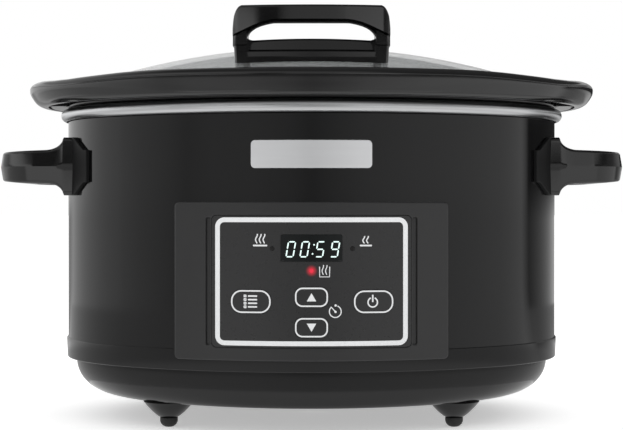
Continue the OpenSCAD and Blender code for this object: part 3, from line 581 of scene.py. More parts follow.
class COOKER_OT_housing(bpy.types.Operator):
    """Enamelled wrap, trim band, base pan and polished collar"""

    bl_idname = "cooker.housing"
    bl_label = "Housing"

    def execute(self, context):
        self.wrap()
        self.band()
        self.pan()
        self.collar()
        return {"FINISHED"}

    def wrap(self):
        """Thin sheet round the body, open behind the key panel and at the cord inlet."""
        window = math.degrees(math.asin(WINDOW_HALF_X / BODY.side_r))
        inlet = math.degrees(math.asin(GLAND_R / BODY.side_r))
        angles = ring_angles((FRONT - window, FRONT + window, REAR - inlet, REAR + inlet))
        top_stretch = 30.0      # its faces shade evenly up to the rounded edge
        heights = [WRAP_LOW, PANEL_MID - WINDOW_HALF_Z, GLAND_Z - GLAND_R, GLAND_Z + GLAND_R,
                   PANEL_MID, PANEL_MID + WINDOW_HALF_Z, WRAP_TOP - top_stretch]
        profile = sorted((0.0, z) for z in heights)
        profile += arc(-WRAP_ROUND, WRAP_TOP - WRAP_ROUND, WRAP_ROUND, WRAP_ROUND, 0, 90, 5)
        profile.append((-WRAP_LIP, WRAP_TOP))
        rows = [[(*BODY.at(a, d), z) for d, z in profile] for a in angles]

        def opening(i, j):
            """Whether a face of the sheet lies in the panel's window or in the inlet."""
            middle = (angles[i] + angles[(i + 1) % len(angles)]) / 2
            if j + 1 >= len(profile):
                return False
            z = (profile[j][1] + profile[j + 1][1]) / 2
            if abs(middle - FRONT) < window and abs(z - PANEL_MID) < WINDOW_HALF_Z:
                return True
            return abs(middle - REAR) < inlet and abs(z - GLAND_Z) < GLAND_R

        shape = Shape()
        shape.grid(rows, closed_rows=True, closed_cols=False, skip=opening)
        shape.finish("wrap_sheet", enamel(), "base", "outer_wrap", weighted=True, sheet=SHEET)

    def band(self):
        """Trim band round the foot of the wrap. It turns in under the sheet."""
        top_r, low_rx, low_rz = 0.5, 0.8, 0.7
        section = [(CLEAR, BAND_LOW + BAND_T), (CLEAR, BAND_TOP)]
        section += arc(BAND_PROUD - top_r, BAND_TOP - top_r, top_r, top_r, 90, 0, 4)
        section += arc(BAND_FOOT - low_rx, BAND_LOW + low_rz, low_rx, low_rz, 0, -90, 8)
        section += [(PAN_WALL + CLEAR, BAND_LOW), (PAN_WALL + CLEAR, BAND_LOW + BAND_T)]
        shape = Shape()
        shape.sweep(BODY, section)
        shape.finish("trim_band", enamel(), "base", "base_trim_band", weighted=True)

    def pan(self):
        """Base pan with a rounded foot, vents, a hole for the stud and four moulded feet."""

        def bowl(inset, steps):
            """Rounded foot of the wall. It reaches in further at the ends than at the front."""
            points = []
            for d, z in arc(0, PAN_LOW + BOWL_H, 1, BOWL_H - inset, 0, -90, steps):
                end = PAN_WALL - inset - (BOWL_END - inset) * (1 - d)
                front = PAN_WALL - inset - BOWL_FRONT * (1 - d)
                points.append((Oval(BODY_W - END_TRIM + end, BODY_D + front), 0.0, z))
            return points

        outer = bowl(0.0, 26)
        inner = bowl(PAN_T, 16)
        shape = Shape()
        shape.sweep(BODY, [(PAN_WALL, PAN_RIM)] + outer + inner[::-1]
                    + [(PAN_WALL - PAN_T, PAN_RIM)])
        edge = [outer[-1][0].at(a) for a in ring_angles()]
        vents = [(VENT_PITCH * i, VENT_FRONT_Y) for i in range(-4, 5)]
        vents += [(side * (VENT_SIDE_X + VENT_PITCH * i), 0) for side in (-1, 1) for i in range(4)]
        slots = [rounded_loop(VENT_W, VENT_L, VENT_R, x, y, 5) for x, y in vents]
        shape.plate([edge] + slots + [circle_loop(STUD_HOLE_R)], PAN_LOW, PAN_LOW + PAN_T,
                    on_level)
        cone = [(0.0, 28.0), (12.0, 28.0), (14.5, 19.0), (16.0, 17.4), (16.5, 16.6), (15.1, 14.9),
                (13.7, 13.2), (12.1, 11.5), (10.5, 9.9), (9.0, 8.6), (7.6, 7.5), (6.4, 6.7),
                (5.6, 6.3), (0.0, 6.3)]
        for x, y in FEET:
            shape.lathe(cone, (x, y, 0), steps=56)
        pan = surface("satin_base_plastic", (0.0045, 0.0045, 0.0047), 0.16, grain=1400, bump=2e-6,
                      ior=1.43)
        shape.finish("bottom_pan", pan, "base", "base_pan")

    def collar(self):
        """Rolled bead of polished steel under the crock's flange."""
        tuck = -82      # direction in which the bead's edge ends, in degrees
        x, z, inner_r = BEAD_REACH - BEAD_R, COLLAR_TOP - BEAD_R, BEAD_R - COLLAR_T
        section = [(COLLAR_IN, COLLAR_FOOT), (COLLAR_IN, COLLAR_TOP)]
        section += arc(x, z, BEAD_R, BEAD_R, 90, tuck, 36)
        section += arc(x, z, inner_r, inner_r, tuck, 90, 20)
        inside = COLLAR_IN + COLLAR_T
        section += [(inside, COLLAR_TOP - COLLAR_T), (inside, COLLAR_FOOT)]
        shape = Shape()
        shape.sweep(BODY, section)
        steel = surface("polished_steel", (0.78, 0.79, 0.80), 0.28, metal=1.0, grain=900,
                        bump=2e-7, tone=0.015, rough_spread=0.01, stretch=(1, 1, 6))
        shape.finish("steel_collar", steel, "base", "top_collar")


class COOKER_OT_feet(bpy.types.Operator):
    """Rubber pads under the four moulded feet"""

    bl_idname = "cooker.feet"
    bl_label = "Feet"

    def execute(self, context):
        pad = [(0.0, 0.0), (1.2, 0.0)] + arc(1.2, 4.6, 4.6, 4.6, -90, 0, 14)
        pad += [(5.8, 5.9), (5.5, 6.25), (3.0, 6.25), (3.0, 13.3), (0.0, 13.3)]
        shape = Shape()
        for x, y in FEET:
            shape.lathe(pad, (x, y, 0))
        rubber = surface("black_rubber", (0.012, 0.012, 0.012), 0.55, grain=1800, bump=1.2e-5)
        shape.finish("foot_pads", rubber, "base", "rubber_feet")
        return {"FINISHED"}


# ------------------------------------------------------------------ side handles

HANDLE_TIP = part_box("right_handle")[1][0] / MM
HANDLE_MID = 169.1
ARM_Y = 52.0
GRIP_T = 16.0
CORNER = 26.0
PAD_T = 2.5
HOLLOW_X = 176.9    # where an arm's upper edge levels out
HOLLOW_W = 12.2     # width over which it sinks to there

# Upper and lower edge of a handle seen from the front: (x, height)
HANDLE_TOP = ([(142, 178.5), (149.2, 179.4), (157.2, 187.7), (158.6, 188.3), (164.2, 188.3)]
              + arc(HOLLOW_X, 188.3, HOLLOW_W, 8.3, 180, 270, 12) + [(206, 178.9), (210, 178.5)])
HANDLE_LOW = ([(142, 158.6), (149.2, 158.3), (157.2, 150.4), (158.6, 149.9), (164.2, 149.9)]
              + arc(175.0, 149.9, 10.4, 7.8, 180, 90, 12) + [(196, 158.3), (210, 159.7)])


class COOKER_OT_side_handles(bpy.types.Operator):
    """Moulded loop handles at both ends of the body"""

    bl_idname = "cooker.side_handles"
    bl_label = "Side handles"

    def execute(self, context):
        for name, side in (("left", -1), ("right", 1)):
            grip = Shape()
            self.loop(grip, side)
            grip.finish(name + "_grip", gloss_plastic(), "base", name + "_handle", sharp=12,
                        weighted=True)
            pads = Shape()
            for front in (-1, 1):
                self.pad(pads, side, front)
            matt = surface("matt_root_plastic", (0.0085, 0.0085, 0.0088), 0.55, grain=1500,
                           bump=8e-6, tone=0.1, ior=1.3)
            pads.finish(name + "_root_pads", matt, "base", name + "_handle", weighted=True)
        return {"FINISHED"}

    def path(self):
        """Outer face of the loop in plan, with its outward normals, from front to rear."""
        steps = 14
        stops = [156, 157.2, 158.6, 160, 161.4, 162.8, 164.2]
        stops += [HOLLOW_X - HOLLOW_W * math.cos(math.radians(90 * k / steps))
                  for k in range(1, steps + 1)]
        front = [(x, -ARM_Y, 0.0, -1.0) for x in stops + [180.0]]
        c = HANDLE_TIP - CORNER
        corner = [(x, y, (x - c) / CORNER, (y + ARM_Y - CORNER) / CORNER)
                  for x, y in arc(c, CORNER - ARM_Y, CORNER, CORNER, -90, 0, 16)]
        half = front + corner + [(HANDLE_TIP, (CORNER - ARM_Y) / 2, 1.0, 0.0)]
        rear = [(x, -y, nx, -ny) for x, y, nx, ny in reversed(half)]
        return half + [(HANDLE_TIP, 0.0, 1.0, 0.0)] + rear

    def section(self):
        """Depth from the crease and share of the half height, round the strip."""
        upper = [(0.0, 0.0), (0.22, 0.16), (1.25, 0.80)] + arc(3.2, 0.80, 1.95, 0.20, 170, 90, 9)
        upper += [(8.0, 1.0)] + arc(GRIP_T - 2.6, 0.78, 2.6, 0.22, 90, 0, 9)
        return upper + [(d, -v) for d, v in reversed(upper[1:])]

    def loop(self, shape, side):
        """Strip of the section carried along the path, held off the wrap at both roots."""
        rows = []
        for x, y, nx, ny in self.path():
            row = []
            for depth, share in self.section():
                px, py = x - nx * depth, y - ny * depth
                root = BODY.end_c + math.sqrt((BODY.end_r + CLEAR) ** 2 - py * py)
                px = max(px, root)
                half = (polyline(HANDLE_TOP, px) - HANDLE_MID if share > 0
                        else HANDLE_MID - polyline(HANDLE_LOW, px))
                row.append((side * px, py, HANDLE_MID + share * half))
            rows.append(row)
        shape.loft(rows)

    def pad(self, shape, side, front):
        """Root pad that lies on the end arc of the body."""
        r = BODY.end_r + PAD_T
        xs = [146.5, 147.3, 148.2, 149.4, 151, 153, 155, 157.2, 158.6, 160.5, 162.5]
        outline = [(x, polyline(HANDLE_LOW, x)) for x in xs]
        outline += [(x, polyline(HANDLE_TOP, x)) for x in reversed(xs)]
        loop = [(-math.acos((x - BODY.end_c) / r) * r, z) for x, z in outline]

        def on_end(u, v, w):
            """Place on the body's end: u along the arc, v up, w out from the wrap."""
            a = -u / r
            reach = BODY.end_r + w
            return side * (BODY.end_c + reach * math.cos(a)), front * reach * math.sin(a), v

        shape.plate([loop], CLEAR, PAD_T, on_end, edge=0.6, cut=3.0)


# ------------------------------------------------------------------ key panel

def on_front(u, v, w):
    """Place on the curved front: u across, v up, w out from the wrap."""
    return u, -BODY.side_y(u, w), v


# Each key: middle from the panel's middle, width, height, corner radius
KEYS = {
    "menu": (-37.1, -12.2, 24.4, 14.0, 6.5),
    "up": (0.0, -9.4, 20.1, 11.8, 4.6),
    "down": (0.0, -27.9, 20.1, 11.8, 4.6),
    "power": (38.0, -12.3, 24.2, 13.8, 6.2),
}
# The display's middle from the panel's middle, its width and its height
DISPLAY = (0.0, 20.5, 37.4, 16.5)
# Middles of the lamps from the panel's middle. The first is the lit one.
LAMPS = ((0.0, 6.7), (-24.0, 20.2), (25.0, 20.2))
LAMP_R = 1.35
OVERLAY_W = 122.6
OVERLAY_H = 80.6
PANEL_CORNER = 3.0
SLOT_X = 63.6
SLOT_W = 2.6
SLOT_H = OVERLAY_H - 2.6
BOSSES = [(x, z) for x in (-50, 50) for z in (-31, 31)]
BOSS_BACK = -124.8  # y of the bosses' rear ends
KEY_GAP = 0.3       # gap round a key
FIT = 0.05          # gap behind the film, and round the window and each lamp

# Distances out from the wrap
BEZEL_BACK = 1.1
BEZEL_STEP = 1.3
BEZEL_FACE = 2.8
RECESS_FACE = 2.3
OVERLAY_FACE = 2.85
WINDOW_FACE = 2.9
KEY_FACE = 3.5
KEY_STEP = -0.4
KEY_BACK = -1.9
KEY_RIM = 1.5       # how far the rim behind a key's cap stands out round it

# Widths of the strips that a curved plate and a key are cut into
CURVE_CUT = 5.0
KEY_CUT = 4.0


class COOKER_OT_key_panel(bpy.types.Operator):
    """Satin bezel, keypad film, display window and indicator lamps"""

    bl_idname = "cooker.key_panel"
    bl_label = "Key panel"

    def execute(self, context):
        holes = [rounded_loop(w + 2 * KEY_GAP, h + 2 * KEY_GAP, r + KEY_GAP, x, PANEL_MID + z)
                 for x, z, w, h, r in KEYS.values()]
        x, z, w, h = DISPLAY
        holes.append(rounded_loop(w + 2 * FIT, h + 2 * FIT, 1.0, x, PANEL_MID + z))
        holes += [circle_loop(LAMP_R + FIT, x, PANEL_MID + z, 24) for x, z in LAMPS]
        self.bezel(holes, context.scene.cooker_sizes.edge_round / MM)
        self.film(holes)
        self.window()
        self.lamps()
        return {"FINISHED"}

    def bezel(self, holes, edge):
        """Curved frame with a recess for the film, a slot at each side and four screw bosses."""
        width = 2 * half_size("control_bezel")[0]
        outline = rounded_loop(width, PANEL_TOP - PANEL_LOW, PANEL_CORNER, 0, PANEL_MID)
        recess = rounded_loop(OVERLAY_W + 2 * CLEAR, OVERLAY_H + 2 * CLEAR, PANEL_CORNER, 0,
                              PANEL_MID)
        slots = [rounded_loop(SLOT_W, SLOT_H, 0.9, x, PANEL_MID) for x in (-SLOT_X, SLOT_X)]
        shape = Shape()
        shape.plate([outline] + holes, BEZEL_BACK, BEZEL_STEP, on_front, cut=CURVE_CUT)
        shape.plate([outline, recess] + slots, BEZEL_STEP, BEZEL_FACE, on_front, edge=edge,
                    cut=CURVE_CUT)
        shape.plate([recess] + holes, BEZEL_STEP, RECESS_FACE, on_front, cut=CURVE_CUT)
        for x, z in BOSSES:
            shape.lathe([(3.0, -BODY.side_y(x) - 2.0), (3.0, BOSS_BACK), (1.3, BOSS_BACK)],
                        (x, 0, PANEL_MID + z), axis="y", steps=20)
        shape.finish("panel_bezel", panel_plastic(), "base", "control_bezel", weighted=True)

    def film(self, holes):
        """Keypad film in the bezel's recess."""
        film = Shape()
        outline = rounded_loop(OVERLAY_W, OVERLAY_H, PANEL_CORNER - CLEAR, 0, PANEL_MID)
        film.plate([outline] + holes, RECESS_FACE + FIT, OVERLAY_FACE, on_front, edge=0.2,
                   cut=CURVE_CUT)
        film.finish("keypad_film", self.film_surface(), "base", "keypad_overlay", weighted=True)

    def window(self):
        """Smoked window in front of the digits."""
        window = Shape()
        x, z, w, h = DISPLAY
        window.plate([rounded_loop(w, h, 0.9, x, PANEL_MID + z)], 0.4, WINDOW_FACE, on_front,
                     edge=0.3, cut=CURVE_CUT)
        smoked = surface("smoked_window", (0.003, 0.0042, 0.0044), 0.05, grain=500, bump=5e-7,
                         tone=0.2, rough_spread=0.02)
        window.finish("display_cover", smoked, "base", "display_window", weighted=True)

    def lamps(self):
        """Lens of each indicator lamp, from the board to the film's face."""
        back, edge = BOSS_BACK - CLEAR, 0.4
        lamps = Shape()
        for x, z in LAMPS:
            face = -BODY.side_y(x, WINDOW_FACE)
            profile = [(0.0, back), (LAMP_R, back), (LAMP_R, face + edge)]
            profile += arc(LAMP_R - edge, face + edge, edge, edge, 0, -90, 4) + [(0.0, face)]
            lamps.lathe(profile, (x, 0, PANEL_MID + z), axis="y", steps=28)
        lamps.finish("indicator_lamps", self.lamp_surface(), "base", "indicator_lenses")

    def glow_near(self, material, radius, colour, strength):
        """Adds light that fades with distance from the lit lamp."""
        nodes, links = material.node_tree.nodes, material.node_tree.links
        x, z = LAMPS[0]
        where = nodes.new("ShaderNodeTexCoord")
        gap = nodes.new("ShaderNodeVectorMath")
        gap.operation = "DISTANCE"
        gap.inputs[1].default_value = (x * MM, (-BODY.side_y(x, WINDOW_FACE) + MID_Y) * MM,
                                       (PANEL_MID + z) * MM)
        fade = nodes.new("ShaderNodeMapRange")
        fade.interpolation_type = "SMOOTHERSTEP"
        fade.inputs["From Min"].default_value = 0.0
        fade.inputs["From Max"].default_value = radius * MM
        fade.inputs["To Min"].default_value = strength
        fade.inputs["To Max"].default_value = 0.0
        shader = nodes["Principled BSDF"]
        shader.inputs["Emission Color"].default_value = (*colour, 1)
        links.new(where.outputs["Object"], gap.inputs[0])
        links.new(gap.outputs["Value"], fade.inputs["Value"])
        links.new(fade.outputs["Result"], shader.inputs["Emission Strength"])

    def film_surface(self):
        """Satin film, lit red round the lit lamp."""
        look = bpy.context.scene.cooker_colours
        film = surface("keypad_film_satin", look.panel, 0.28, grain=3200, bump=4e-6, tone=0.05,
                       rough_spread=0.03)
        self.glow_near(film, 4.3, (1.0, 0.02, 0.05), 0.6)
        return film

    def lamp_surface(self):
        """Dark lens. Only the lens of the lit lamp glows."""
        lens = surface("lamp_lens", (0.010, 0.009, 0.009), 0.2, grain=900, bump=2e-6)
        self.glow_near(lens, 4.8, (1.0, 0.03, 0.07), 0.85)
        return lens


class COOKER_OT_keys(bpy.types.Operator):
    """Four key caps that press into the panel"""

    bl_idname = "cooker.keys"
    bl_label = "Keys"

    def execute(self, context):
        plastic = surface("key_cap_satin", context.scene.cooker_colours.panel, 0.30, grain=2600,
                          bump=6e-6, tone=0.08, rough_spread=0.05)
        for name, (x, z, w, h, r) in KEYS.items():
            up = PANEL_MID + z
            shape = Shape()
            shape.plate([rounded_loop(w, h, r, x, up, 12)], KEY_STEP - CLEAR, KEY_FACE, on_front,
                        edge=0.35, cut=KEY_CUT)
            rim = rounded_loop(w + 2 * KEY_RIM, h + 2 * KEY_RIM, r + KEY_RIM, x, up, 12)
            shape.plate([rim], KEY_BACK, KEY_STEP, on_front, edge=0.3, cut=KEY_CUT)
            back = -BODY.side_y(x, KEY_BACK) - 0.5
            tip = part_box(name + "_button")[1][1] / MM - MID_Y
            stem_r, chamfer = 2.2, 0.3
            stem = [(stem_r, back), (stem_r, tip - chamfer), (stem_r - chamfer, tip), (0.0, tip)]
            shape.lathe(stem, (x, 0, up), axis="y", steps=28)
            shape.finish(name + "_cap", plastic, name + "_key", name + "_button", weighted=True)
        return {"FINISHED"}


# ------------------------------------------------------------------ printed signs

def stroke(points, width, closed=False):
    """Outline loops of a line of even width along points."""
    if closed:
        return [offset_loop(points, width / 2), offset_loop(points, -width / 2)]
    left, right = [], []
    for i, p in enumerate(points):
        a, b = Vector(points[max(i - 1, 0)]), Vector(points[min(i + 1, len(points) - 1)])
        along = (b - a).normalized()
        out = Vector((along.y, -along.x)) * width / 2
        left.append((p[0] + out.x, p[1] + out.y))
        right.append((p[0] - out.x, p[1] - out.y))
    return [left + right[::-1]]


def shifted(loops, x, y):
    """Loops moved by [x, y]."""
    return [[(u + x, v + y) for u, v in loop] for loop in loops]


def wave(x, low, high, sway):
    """Rising wavy line of nearly one full wave."""
    steps, waves, start = 14, 0.95, 2.4
    return [(x + sway * math.sin(2 * math.pi * (i / steps) * waves + start),
             low + (high - low) * i / steps) for i in range(steps + 1)]


def tilted(loops, x, y, slope):
    """Leans loops to the right about a base line, then moves them."""
    return [[(u + v * slope + x, v + y) for u, v in loop] for loop in loops]


# Lit bars of each digit: a top, b and c right, d bottom, e and f left, g middle
SEGMENTS = {"0": "abcdef", "5": "acdfg", "9": "abcdfg"}
INK_T = 0.04        # thickness of the ink
LIT_T = 0.03        # thickness of a lit bar
PRINT_CUT = 4.0


def digit_loops(digit, w, h):
    """Lit bars of a seven-bar digit, with cut corners."""
    t = 0.8
    gap = 0.28
    half = h / 2

    def bar(x0, y0, x1, y1):
        """Six-sided bar between two places, a little short of both."""
        along = Vector((x1 - x0, y1 - y0)).normalized()
        out = Vector((along.y, -along.x)) * t / 2
        tip = along * t / 2
        a, b = Vector((x0, y0)) + along * gap, Vector((x1, y1)) - along * gap
        return [tuple(a), tuple(a + tip + out), tuple(b - tip + out), tuple(b),
                tuple(b - tip - out), tuple(a + tip - out)]

    left, right, low, high = t / 2, w - t / 2, t / 2, h - t / 2
    bars = {"a": (left, high, right, high), "b": (right, half, right, high),
            "c": (right, low, right, half), "d": (left, low, right, low),
            "e": (left, low, left, half), "f": (left, half, left, high),
            "g": (left, half, right, half)}
    return [bar(*bars[name]) for name in SEGMENTS[digit]]


class COOKER_OT_prints(bpy.types.Operator):
    """Frame line, key outlines, signs and lit display digits"""

    bl_idname = "cooker.prints"
    bl_label = "Printed signs"

    def printed(self, shape, loops, face, cut=PRINT_CUT):
        """Layer of ink on a face. A small sign needs no cuts."""
        shape.plate(loops, face, face + INK_T, on_front, cut=cut)

    def execute(self, context):
        sizes = context.scene.cooker_sizes
        line = sizes.key_line / MM
        self.on_film(sizes.frame_line / MM)
        for name, (x, z, w, h, r) in KEYS.items():
            up = PANEL_MID + z
            shape = Shape()
            outline = rounded_loop(w - line, h - line, r - line / 2, x, up, 12)
            self.printed(shape, stroke(outline, line, closed=True), KEY_FACE)
            for loops in getattr(self, name + "_sign")():
                self.printed(shape, shifted(loops, x, up), KEY_FACE)
            shape.finish(name + "_sign", print_ink(), name + "_key")
        self.digits(sizes.digit_height / MM)
        return {"FINISHED"}

    def on_film(self, line):
        """Frame line round the keys, and the signs that stand on the film itself."""
        shape = Shape()
        width, height = 118.3, 78.4
        frame_line = rounded_loop(width - line, height - line, 4.2, 0, PANEL_MID, 10)
        self.printed(shape, stroke(frame_line, line, closed=True), OVERLAY_FACE)
        self.heat(shape, -31.4, 4.4, 125.7, (-2.2, 0.1, 2.4))
        self.heat(shape, 33.2, 3.7, 124.4, (-1.3, 1.0))
        self.pot(shape, 8.0, PANEL_MID + 6.6)
        self.clock(shape, 14.5, 78.4)
        shape.finish("film_print", print_ink(), "base")

    def heat(self, shape, x, half, high, waves):
        """Heat sign: a bar with wavy lines rising from it."""
        bar_z, foot_z = 118.6, 119.9
        self.printed(shape, [rounded_loop(2 * half, 1.0, 0.4, x, bar_z)], OVERLAY_FACE)
        for dx in waves:
            line = stroke(wave(x + dx, foot_z, high, 0.55), 0.72)
            self.printed(shape, line, OVERLAY_FACE, 0)

    def pot(self, shape, x, z):
        """Open pot with two wisps of steam."""
        wall = [(x - 3.1, z + 2.6), (x - 3.0, z - 3.6), (x + 3.0, z - 3.6), (x + 3.1, z + 2.6)]
        self.printed(shape, stroke(wall, 0.6), OVERLAY_FACE, 0)
        for dx in (-1.1, 1.0):
            wisp = stroke(wave(x + dx, z - 2.3, z + 3.6, 0.45), 0.55)
            self.printed(shape, wisp, OVERLAY_FACE, 0)

    def clock(self, shape, x, z):
        """Timer sign: open ring with a hand, a dot at its hub and a dot in its gap."""
        ring = arc(x, z, 3.6, 3.6, 68, -232, 40)
        self.printed(shape, stroke(ring, 0.65), OVERLAY_FACE, 0)
        self.printed(shape, stroke([(x - 2.2, z + 2.4), (x, z)], 0.6), OVERLAY_FACE, 0)
        for r, dx, dy in ((0.75, 0.1, -0.2), (0.72, 0.2, 3.7)):
            self.printed(shape, [circle_loop(r, x + dx, z + dy, 16)], OVERLAY_FACE, 0)

    def menu_sign(self):
        """List of four lines, each with a small ring before it."""
        signs = []
        top, pitch = 3.4, 2.2
        for row in range(4):
            y = top - pitch * row
            box = rounded_loop(1.75, 1.7, 0.4, -3.5, y, 3)
            signs.append([box, circle_loop(0.3, -3.5, y, 10)])
            signs.append([rounded_loop(5.7, 0.95, 0.3, 1.1, y, 3)])
        return signs

    def up_sign(self):
        """Triangle that points up."""
        return [[[(-2.9, -2.5), (2.9, -2.5), (0.0, 2.5)]]]

    def down_sign(self):
        """Triangle that points down."""
        return [[[(-2.9, 2.5), (0.0, -2.5), (2.9, 2.5)]]]

    def power_sign(self):
        """Open ring with a bar in its gap."""
        return [stroke(arc(-0.6, -0.3, 2.9, 2.9, 66, -246, 36), 0.85),
                stroke([(-0.6, -0.2), (-0.6, 4.3)], 0.95)]

    def digits(self, height):
        """Lit time on the window: four digits and the two dots between them."""
        shape = Shape()
        low = PANEL_MID + DISPLAY[1] - height / 2 - 0.7
        slope, width, dot_r, dot_x = 0.17, 5.1, 0.5, 0.25
        loops = []
        for digit, x in zip("0059", (-16.0, -7.5, 1.9, 10.9)):
            loops += tilted(digit_loops(digit, width, height), x, low, slope)
        for y in (0.22 * height, 0.78 * height):
            loops.append(circle_loop(dot_r, dot_x + y * slope, low + y, 14))
        for loop in loops:
            shape.plate([loop], WINDOW_FACE, WINDOW_FACE + LIT_T, on_front)
        lit = surface("lit_digits", (0.6, 0.7, 0.68), 0.4, grain=2000, bump=1e-6,
                      glow=(0.74, 1.0, 0.94), glow_strength=0.68)
        shape.finish("lit_digits", lit, "base")


BADGE_T = 1.5


class COOKER_OT_badge(bpy.types.Operator):
    """Bare satin metal plate on the front"""

    bl_idname = "cooker.badge"
    bl_label = "Badge"

    def execute(self, context):
        lo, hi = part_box("nameplate")
        w, h = (hi[0] - lo[0]) / MM, (hi[2] - lo[2]) / MM
        z = (hi[2] + lo[2]) / 2 / MM
        shape = Shape()
        shape.plate([rounded_loop(w, h, 2.6, 0, z)], CLEAR, BADGE_T, on_front, edge=0.35,
                    cut=CURVE_CUT)
        metal = surface("satin_badge_metal", context.scene.cooker_colours.badge, 0.15, metal=0.62,
                        grain=900, bump=1e-6, tone=0.04, rough_spread=0.03, stretch=(0.4, 1, 5))
        shape.finish("front_badge", metal, "base", "nameplate", weighted=True)
        return {"FINISHED"}


# ------------------------------------------------------------------ crock

# Heights of the crock's underside and floor, offset of its wall from the body, and its thickness
CROCK_LOW = 73.0
CROCK_FLOOR = 81.0
CROCK_WALL = -22.0
CROCK_T = 7.0

# Lugs: half width, and middle and radius of the rounded corner
LUG_HALF = 36
LUG_CORNER_X = 170.5
LUG_CORNER_R = 8
LUG_INSET = 8.5     # how far a lug ends inside the lid's drawn-in end

END_DRAW = 7.0      # how far the lid's ends draw in toward its underside


class COOKER_OT_crock(bpy.types.Operator):
    """Glazed stoneware bowl with a lug at each end"""

    bl_idname = "cooker.crock"
    bl_label = "Crock"

    def execute(self, context):
        top = FLANGE_TOP
        out, foot_r, mouth_r, floor_r = CROCK_WALL, 14, 4, 10
        inn = out - CROCK_T
        middle = inn - 12
        section = [(middle, CROCK_LOW)]
        section += arc(out - foot_r, CROCK_LOW + foot_r, foot_r, foot_r, -90, 0, 10)
        section += [(out, FLANGE_LOW - 3), (out + 3, FLANGE_LOW)]
        section += arc(-1.2, FLANGE_LOW + 2.2, 2.2, 2.2, -90, 0, 8)
        section += arc(-1.5, top - 2.5, 2.5, 2.5, 0, 90, 8)
        section += arc(inn + mouth_r, top - mouth_r, mouth_r, mouth_r, 90, 180, 8)
        section += arc(inn - floor_r, CROCK_FLOOR + floor_r, floor_r, floor_r, 0, -90, 10)
        section.append((middle, CROCK_FLOOR))
        shape = Shape()
        shape.sweep(BODY, section, closed=False)
        shape.disc(BODY, middle, CROCK_FLOOR, up=True)
        shape.disc(BODY, middle, CROCK_LOW, up=False)
        for side in (-1, 1):
            self.lug(shape, side)
        glaze = surface("dark_glaze", (0.010, 0.010, 0.0105), 0.14, grain=180, bump=2.5e-6,
                        tone=0.12, rough_spread=0.03)
        shape.finish("stoneware_bowl", glaze, "crock", "stoneware_crock")
        return {"FINISHED"}

    def lug(self, shape, side):
        """Grip at one end of the flange, with an end that follows the lid's."""
        inner = BODY_W - 12
        reach = LID.end_r - LUG_INSET - END_DRAW
        end = [(LID.end_c + math.sqrt(reach ** 2 - y * y), y) for y in range(-27, 28, 3)]
        corner = arc(LUG_CORNER_X, LUG_CORNER_R - LUG_HALF, LUG_CORNER_R, LUG_CORNER_R, -90, -25, 6)
        loop = [(inner, -LUG_HALF)] + corner + end
        loop += [(x, -y) for x, y in reversed(corner)] + [(inner, LUG_HALF)]
        if side < 0:
            loop = [(-x, y) for x, y in reversed(loop)]
        shape.plate([loop], FLANGE_LOW + 1.2, FLANGE_TOP - 0.6, on_level, edge=1.4, back_edge=0.8)


# ------------------------------------------------------------------ lid

GLASS_T = 4.5
GLASS_EDGE = -1.0   # offset of the faces' edge from the dome's outline
GLASS_RINGS = 24
RIM_LIP = 1.2       # how far the rim's lip stands above its shoulder
RIM_TRIM = 1.5      # how far the rim's ends stand in from its frame node
DRAW_H = 12.0       # height over which they draw in
SHOULDER_H = 4.8    # height of the rounded shoulder

# How far the rim's upper part falls away toward its ends: (distance from the middle, drop)
RIM_DROP = [(0, 0.0), (90, 0.0), (105, 0.25), (120, 0.8), (142, 2.0), (157, 2.75), (168, 2.6),
            (178, 1.7), (200, 1.2)]


def dome_height(x, y, sunk=0.0):
    """Height of the dome's outer face, or of the face sunk below it."""
    rise = DOME_TOP - (LID_TOP - RIM_LIP)
    rx = (DOME_W ** 2 + rise ** 2) / (2 * rise)
    ry = (DOME_D ** 2 + rise ** 2) / (2 * rise)
    out = rx - ry + math.sqrt((ry - sunk) ** 2 - y * y)
    return DOME_TOP - rx + math.sqrt(out * out - x * x)


